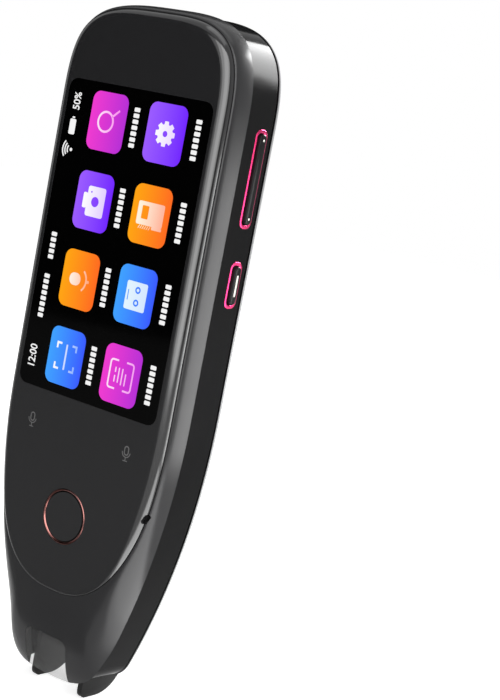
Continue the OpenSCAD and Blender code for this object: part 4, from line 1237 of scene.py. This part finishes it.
def softLamp(name, place, shine, size, power, glossy=True, diffuse=True):
    data = bpy.data.lights.new(name, "AREA")
    data.shape = "RECTANGLE"
    data.size, data.size_y = size
    data.energy = power
    lamp = bpy.data.objects.new(name, data)
    bpy.context.scene.collection.objects.link(lamp)
    lamp.location = place
    lamp.rotation_euler = shine.to_track_quat("-Z", "Y").to_euler()
    lamp.visible_camera = False
    lamp.visible_glossy = glossy
    lamp.visible_diffuse = diffuse
    return lamp


def lampPlace(turn, rise, far):
    # turn is measured from behind the pen towards the keys
    turn, rise = math.radians(turn), math.radians(rise)
    across = math.cos(rise)
    return far * Vector((math.sin(turn) * across, math.cos(turn) * across, math.sin(rise))) + penMiddle


def coverLeftOut():
    # the cover's bright metal would mirror the glints as white patches
    pieces = bpy.data.collections.new("withoutGlints")
    pieces.objects.link(bpy.data.objects["backCover"])
    pieces.collection_objects[0].light_linking.link_state = "EXCLUDE"
    return pieces


standingCards = (
    {"name": "frontCard", "turn": -150, "width": 88, "far": 0.5, "low": -0.03, "high": 0.55},
    {"name": "leftCard", "turn": -54, "width": 56, "far": 0.24, "low": -0.038, "high": 0.3},
    {"name": "rightCard", "turn": 114, "width": 16, "far": 0.5, "low": -0.03, "high": 0.55},
)
floorCard = {"colour": "#A0A0A0", "place": (-0.29, -0.27, floorHeight + 0.0005), "size": (0.6, 0.5)}
# soft boxes light the whole pen, and only the one above it shows in reflections
softBoxes = (
    {"name": "keyBox", "at": lampPlace(148, 22, 0.7), "size": (0.1, 0.5), "power": 2.4},
    {"name": "sideBox", "at": lampPlace(72, 8, 0.7), "size": (0.08, 0.6), "power": 2},
    {"name": "topBox", "at": Vector((0, -0.05, 0.75)), "size": (0.5, 0.5), "power": 1.6, "glossy": True},
    {"name": "backBox", "at": lampPlace(20, 15, 0.7), "size": (0.35, 0.6), "power": 2.4},
)
# glints only show in glossy surfaces, as bright lines along their edges; the first two lie on the floor
floorGlints = (
    {"name": "noseGlint", "at": (0.107, -0.019), "size": (0.146, 0.082), "power": 0.3},
    {"name": "noseFade", "at": (0.103, -0.029), "size": (0.154, 0.086), "power": 0.21},
)
edgeGlints = (
    {"name": "lipGlint", "at": (64, -5, 0.2), "size": (0.118, 0.115), "power": 0.42},
    {"name": "lipFade", "at": (88, -5, 0.2), "size": (0.063, 0.115), "power": 0.06},
    {"name": "edgeGlint", "at": (152, 22, 0.3), "size": (0.16, 0.38), "power": 0.48},
    {"name": "edgeMiddle", "at": (155, 22, 0.31), "size": (0.35, 0.38), "power": 1.65},
    {"name": "edgeFade", "at": (159, 22, 0.32), "size": (0.52, 0.38), "power": 1.24},
    {"name": "topGlint", "at": (18, 36, 0.32), "size": (0.19, 0.15), "power": 4.2},
)


def lightStage():
    whiteWorld()
    whiteFloor()
    for card in standingCards:
        standingCard(**card)
    clothCard("floorCard", floorCard["colour"], floorCard["place"], floorCard["size"])
    for box in softBoxes:
        softLamp(box["name"], box["at"], penMiddle - box["at"], box["size"], box["power"],
                 glossy=box.get("glossy", False))
    places = [(Vector((*glint["at"], floorHeight + 0.001)), Vector((0, 0, 1))) for glint in floorGlints]
    places += [(lampPlace(*glint["at"]), penMiddle - lampPlace(*glint["at"])) for glint in edgeGlints]
    receivers = coverLeftOut()
    for glint, (place, shine) in zip(floorGlints + edgeGlints, places):
        lamp = softLamp(glint["name"], place, shine, glint["size"], glint["power"], diffuse=False)
        lamp.light_linking.receiver_collection = receivers


lightStage()
print("Stage made")

camera = {
    "focal": 80.31, "sensor": 36, "nearest": 0.01, "place": (0.21086, -0.24677, 0.08560),
    "right": (0.77883, 0.59786, 0.18970), "up": (-0.23421, -0.00336, 0.97218),
    "back": (0.58187, -0.80159, 0.13741),
}


def addCamera():
    data = bpy.data.cameras.new("camera")
    data.sensor_fit = "AUTO"
    data.sensor_width = camera["sensor"]
    data.lens = camera["focal"]
    data.clip_start = camera["nearest"]
    eye = bpy.data.objects.new("camera", data)
    bpy.context.scene.collection.objects.link(eye)
    turned = Matrix((camera["right"], camera["up"], camera["back"])).transposed().to_4x4()
    eye.matrix_world = Matrix.Translation(camera["place"]) @ turned
    bpy.context.scene.camera = eye


addCamera()
bpy.context.scene.view_settings.view_transform = "Standard"

print("Scene ready")
